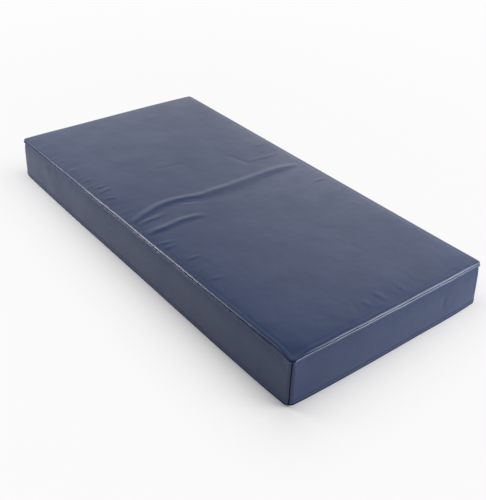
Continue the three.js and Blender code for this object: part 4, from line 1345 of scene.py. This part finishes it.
class MATTRESS_OT_studio(bpy.types.Operator):
    """Set up the pale floor, the soft light and the camera"""

    bl_idname = "mattress.studio"
    bl_label = "Studio"

    def execute(self, context):
        studio = context.scene.mattress.studio
        self.floor(context, studio)
        self.light(context, studio)
        self.camera(context, studio)
        context.scene.view_settings.view_transform = "Standard"
        return {"FINISHED"}

    def floor(self, context, studio):
        size = 12.0
        mesh = bpy.data.meshes.new("floor")
        corners = ((-size, -size), (size, -size), (size, size), (-size, size))
        mesh.from_pydata([(x, y, -0.02 * MM) for x, y in corners], [], [(0, 1, 2, 3)])
        floor = linked("floor", mesh)
        material, shader, nodes, place = new_material("Pale floor")
        paper = nodes.noise(place, 3.0, 3.0, 0.5)
        tone = nodes.mix(nodes.mapped(paper, 0.3, 0.7, 0, 1), (*studio.floor_colour, 1),
                         tuple(0.985 * c for c in studio.floor_colour) + (1,))
        nodes.put(shader.inputs["Base Color"], tone)
        shader.inputs["Roughness"].default_value = 0.75
        shader.inputs["Specular IOR Level"].default_value = 0.15
        # The floor turns into the white background away from the mattress
        apart = nodes.add("ShaderNodeSeparateXYZ", Vector=place)
        beyond = []
        for axis, half in (("X", HALF_LENGTH), ("Y", HALF_WIDTH)):
            away = nodes.math("SUBTRACT", nodes.math("ABSOLUTE", apart.outputs[axis]), half)
            beyond.append(nodes.math("MAXIMUM", away, 0.0))
        span = nodes.math("SQRT", nodes.math("ADD", *[nodes.math("POWER", away, 2.0) for away in beyond]))
        fade = nodes.math("EXPONENT", nodes.math("DIVIDE", span, -studio.floor_fade))
        fade = nodes.math("SUBTRACT", 1.0, nodes.math("MULTIPLY", fade, studio.floor_shade))
        path = nodes.add("ShaderNodeLightPath")
        seen = nodes.math("MAXIMUM", path.outputs["Is Camera Ray"], path.outputs["Is Glossy Ray"])
        seen = nodes.math("MAXIMUM", seen, path.outputs["Is Transmission Ray"])
        # Painted shadow: the floor's white is slightly darker within half a metre of the mattress and turns
        # full white three metres away
        shadowed_white = nodes.mix(nodes.mapped(span, 0.5, 3.0, 0.0, 1.0), (0.97, 0.96, 0.962, 1), (1, 1, 1, 1))
        white = nodes.add("ShaderNodeEmission", Color=shadowed_white, Strength=1.0)
        output = found(material.node_tree, "OUTPUT_MATERIAL")
        blended = nodes.blend(nodes.math("MULTIPLY", fade, seen), shader.outputs[0], white.outputs[0])
        nodes.put(output.inputs["Surface"], blended)
        mesh.materials.append(material)

    def light(self, context, studio):
        world = bpy.data.worlds.new("Studio")
        world.use_nodes = True
        context.scene.world = world
        nodes = Nodes(world.node_tree)
        background = found(world.node_tree, "BACKGROUND")
        output = found(world.node_tree, "OUTPUT_WORLD")
        # Gloss shows bright walls round the mattress, brightest behind it, below a dim ceiling
        way = nodes.add("ShaderNodeTexCoord").outputs["Generated"]
        height = nodes.add("ShaderNodeSeparateXYZ", Vector=way).outputs["Z"]
        facing = nodes.add("ShaderNodeVectorMath", {"operation": "DOT_PRODUCT"})
        nodes.put(facing.inputs[0], way)
        facing.inputs[1].default_value = Vector((-0.65, 0.75, 0.0)).normalized()
        wall = nodes.mapped(facing.outputs["Value"], -0.4, 0.5, 0.5 * studio.wall_strength,
                            studio.wall_strength)
        ceiling = nodes.mapped(height, 0.55, 0.9, 0.0, 1.0)
        ceiling.node.interpolation_type = "SMOOTHSTEP"
        gloss = nodes.math("ADD", nodes.math("MULTIPLY", nodes.math("SUBTRACT", 1.0, ceiling), wall),
                           nodes.math("MULTIPLY", ceiling, studio.ceiling_strength))
        path = nodes.add("ShaderNodeLightPath")
        shiny = path.outputs["Is Glossy Ray"]
        even = nodes.math("MULTIPLY", nodes.math("SUBTRACT", 1.0, shiny), studio.room_strength)
        gloss = nodes.math("MULTIPLY", shiny, gloss)
        nodes.put(background.inputs["Strength"], nodes.math("ADD", even, gloss))
        background.inputs["Color"].default_value = (0.98, 0.99, 1.0, 1)
        seen = nodes.math("MAXIMUM", path.outputs["Is Camera Ray"], path.outputs["Is Transmission Ray"])
        white = nodes.add("ShaderNodeBackground", Color=(1, 1, 1, 1), Strength=1.0)
        nodes.put(output.inputs["Surface"], nodes.blend(seen, background.outputs[0], white.outputs[0]))
        for name, place, aim, size, watts in (
            ("Right soft box", (2.1, 1.25, 1.15), (0.4, 0, 0.1), (1.1, 0.8), studio.right_power),
            ("Left soft box", (-1.38, -1.03, 1.3), (0, -0.3, 0.1), (0.8, 0.6), studio.left_power),
            ("Far soft box", (1.5, 1.9, 1.3), (0.2, 0.1, 0.1), (1.4, 1.0), studio.far_power),
            ("Back soft box", (-2.5, 1.9, 1.0), (-0.2, 0, 0.1), (4.4, 1.4), studio.back_power),
            ("Rear soft box", (-0.8, 2.4, 1.5), (0, 0, 0.1), (3.0, 1.6), studio.rear_power),
        ):
            lamp = bpy.data.lights.new(name, "AREA")
            lamp.shape = "RECTANGLE"
            lamp.size, lamp.size_y = size
            lamp.energy = watts
            box = linked(name, lamp)
            way = Vector(place) - Vector(aim)
            box.matrix_world = Matrix.Translation(place) @ way.to_track_quat("Z", "Y").to_matrix().to_4x4()

    def camera(self, context, studio):
        turn, lift = studio.camera_azimuth, studio.camera_elevation
        back = Vector((math.sin(turn) * math.cos(lift), -math.cos(turn) * math.cos(lift), math.sin(lift)))
        level = Vector((math.cos(turn), math.sin(turn), 0.0))
        up = back.cross(level)
        cos_roll, sin_roll = math.cos(studio.camera_roll), math.sin(studio.camera_roll)
        right = level * cos_roll + up * sin_roll
        up = up * cos_roll - level * sin_roll
        data = bpy.data.cameras.new("Camera")
        data.lens = studio.lens
        data.sensor_width = 36.0
        camera = linked("Camera", data)
        turned = Matrix((right, up, back)).transposed().to_4x4()
        camera.matrix_world = Matrix.Translation(studio.camera_place) @ turned
        context.scene.camera = camera


OPERATORS = (
    MATTRESS_OT_foam_block, MATTRESS_OT_top_panel, MATTRESS_OT_bottom_panel, MATTRESS_OT_borders,
    MATTRESS_OT_zip_strips, MATTRESS_OT_zip_tapes, MATTRESS_OT_zip_coils, MATTRESS_OT_zip_metal,
    MATTRESS_OT_stitches, MATTRESS_OT_studio,
)


class VIEW3D_PT_mattress(bpy.types.Panel):
    """Sizes, colours and steps of the mattress"""

    bl_label = "Mattress"
    bl_idname = "VIEW3D_PT_mattress"
    bl_space_type = "VIEW_3D"
    bl_region_type = "UI"
    bl_category = "Mattress"

    def draw(self, context):
        for label in ("cover", "foam", "zip", "studio"):
            group = getattr(context.scene.mattress, label)
            box = self.layout.box()
            box.label(text=label.capitalize())
            for key in group.bl_rna.properties.keys():
                if key not in ("rna_type", "name"):
                    box.prop(group, key)
        for operator in OPERATORS:
            self.layout.operator(operator.bl_idname)


CLASSES = (CoverSettings, FoamSettings, ZipSettings, StudioSettings, MattressSettings, *OPERATORS,
           VIEW3D_PT_mattress)


def register():
    for item in CLASSES:
        bpy.utils.register_class(item)
    bpy.types.Scene.mattress = PointerProperty(type=MattressSettings)


def unregister():
    del bpy.types.Scene.mattress
    for item in reversed(CLASSES):
        bpy.utils.unregister_class(item)


def main():
    register()
    for step in ("studio", "foam_block", "top_panel", "bottom_panel", "borders", "zip_strips", "zip_tapes",
                 "zip_coils", "zip_metal", "stitches"):
        getattr(bpy.ops.mattress, step)()


if __name__ == "__main__":
    main()
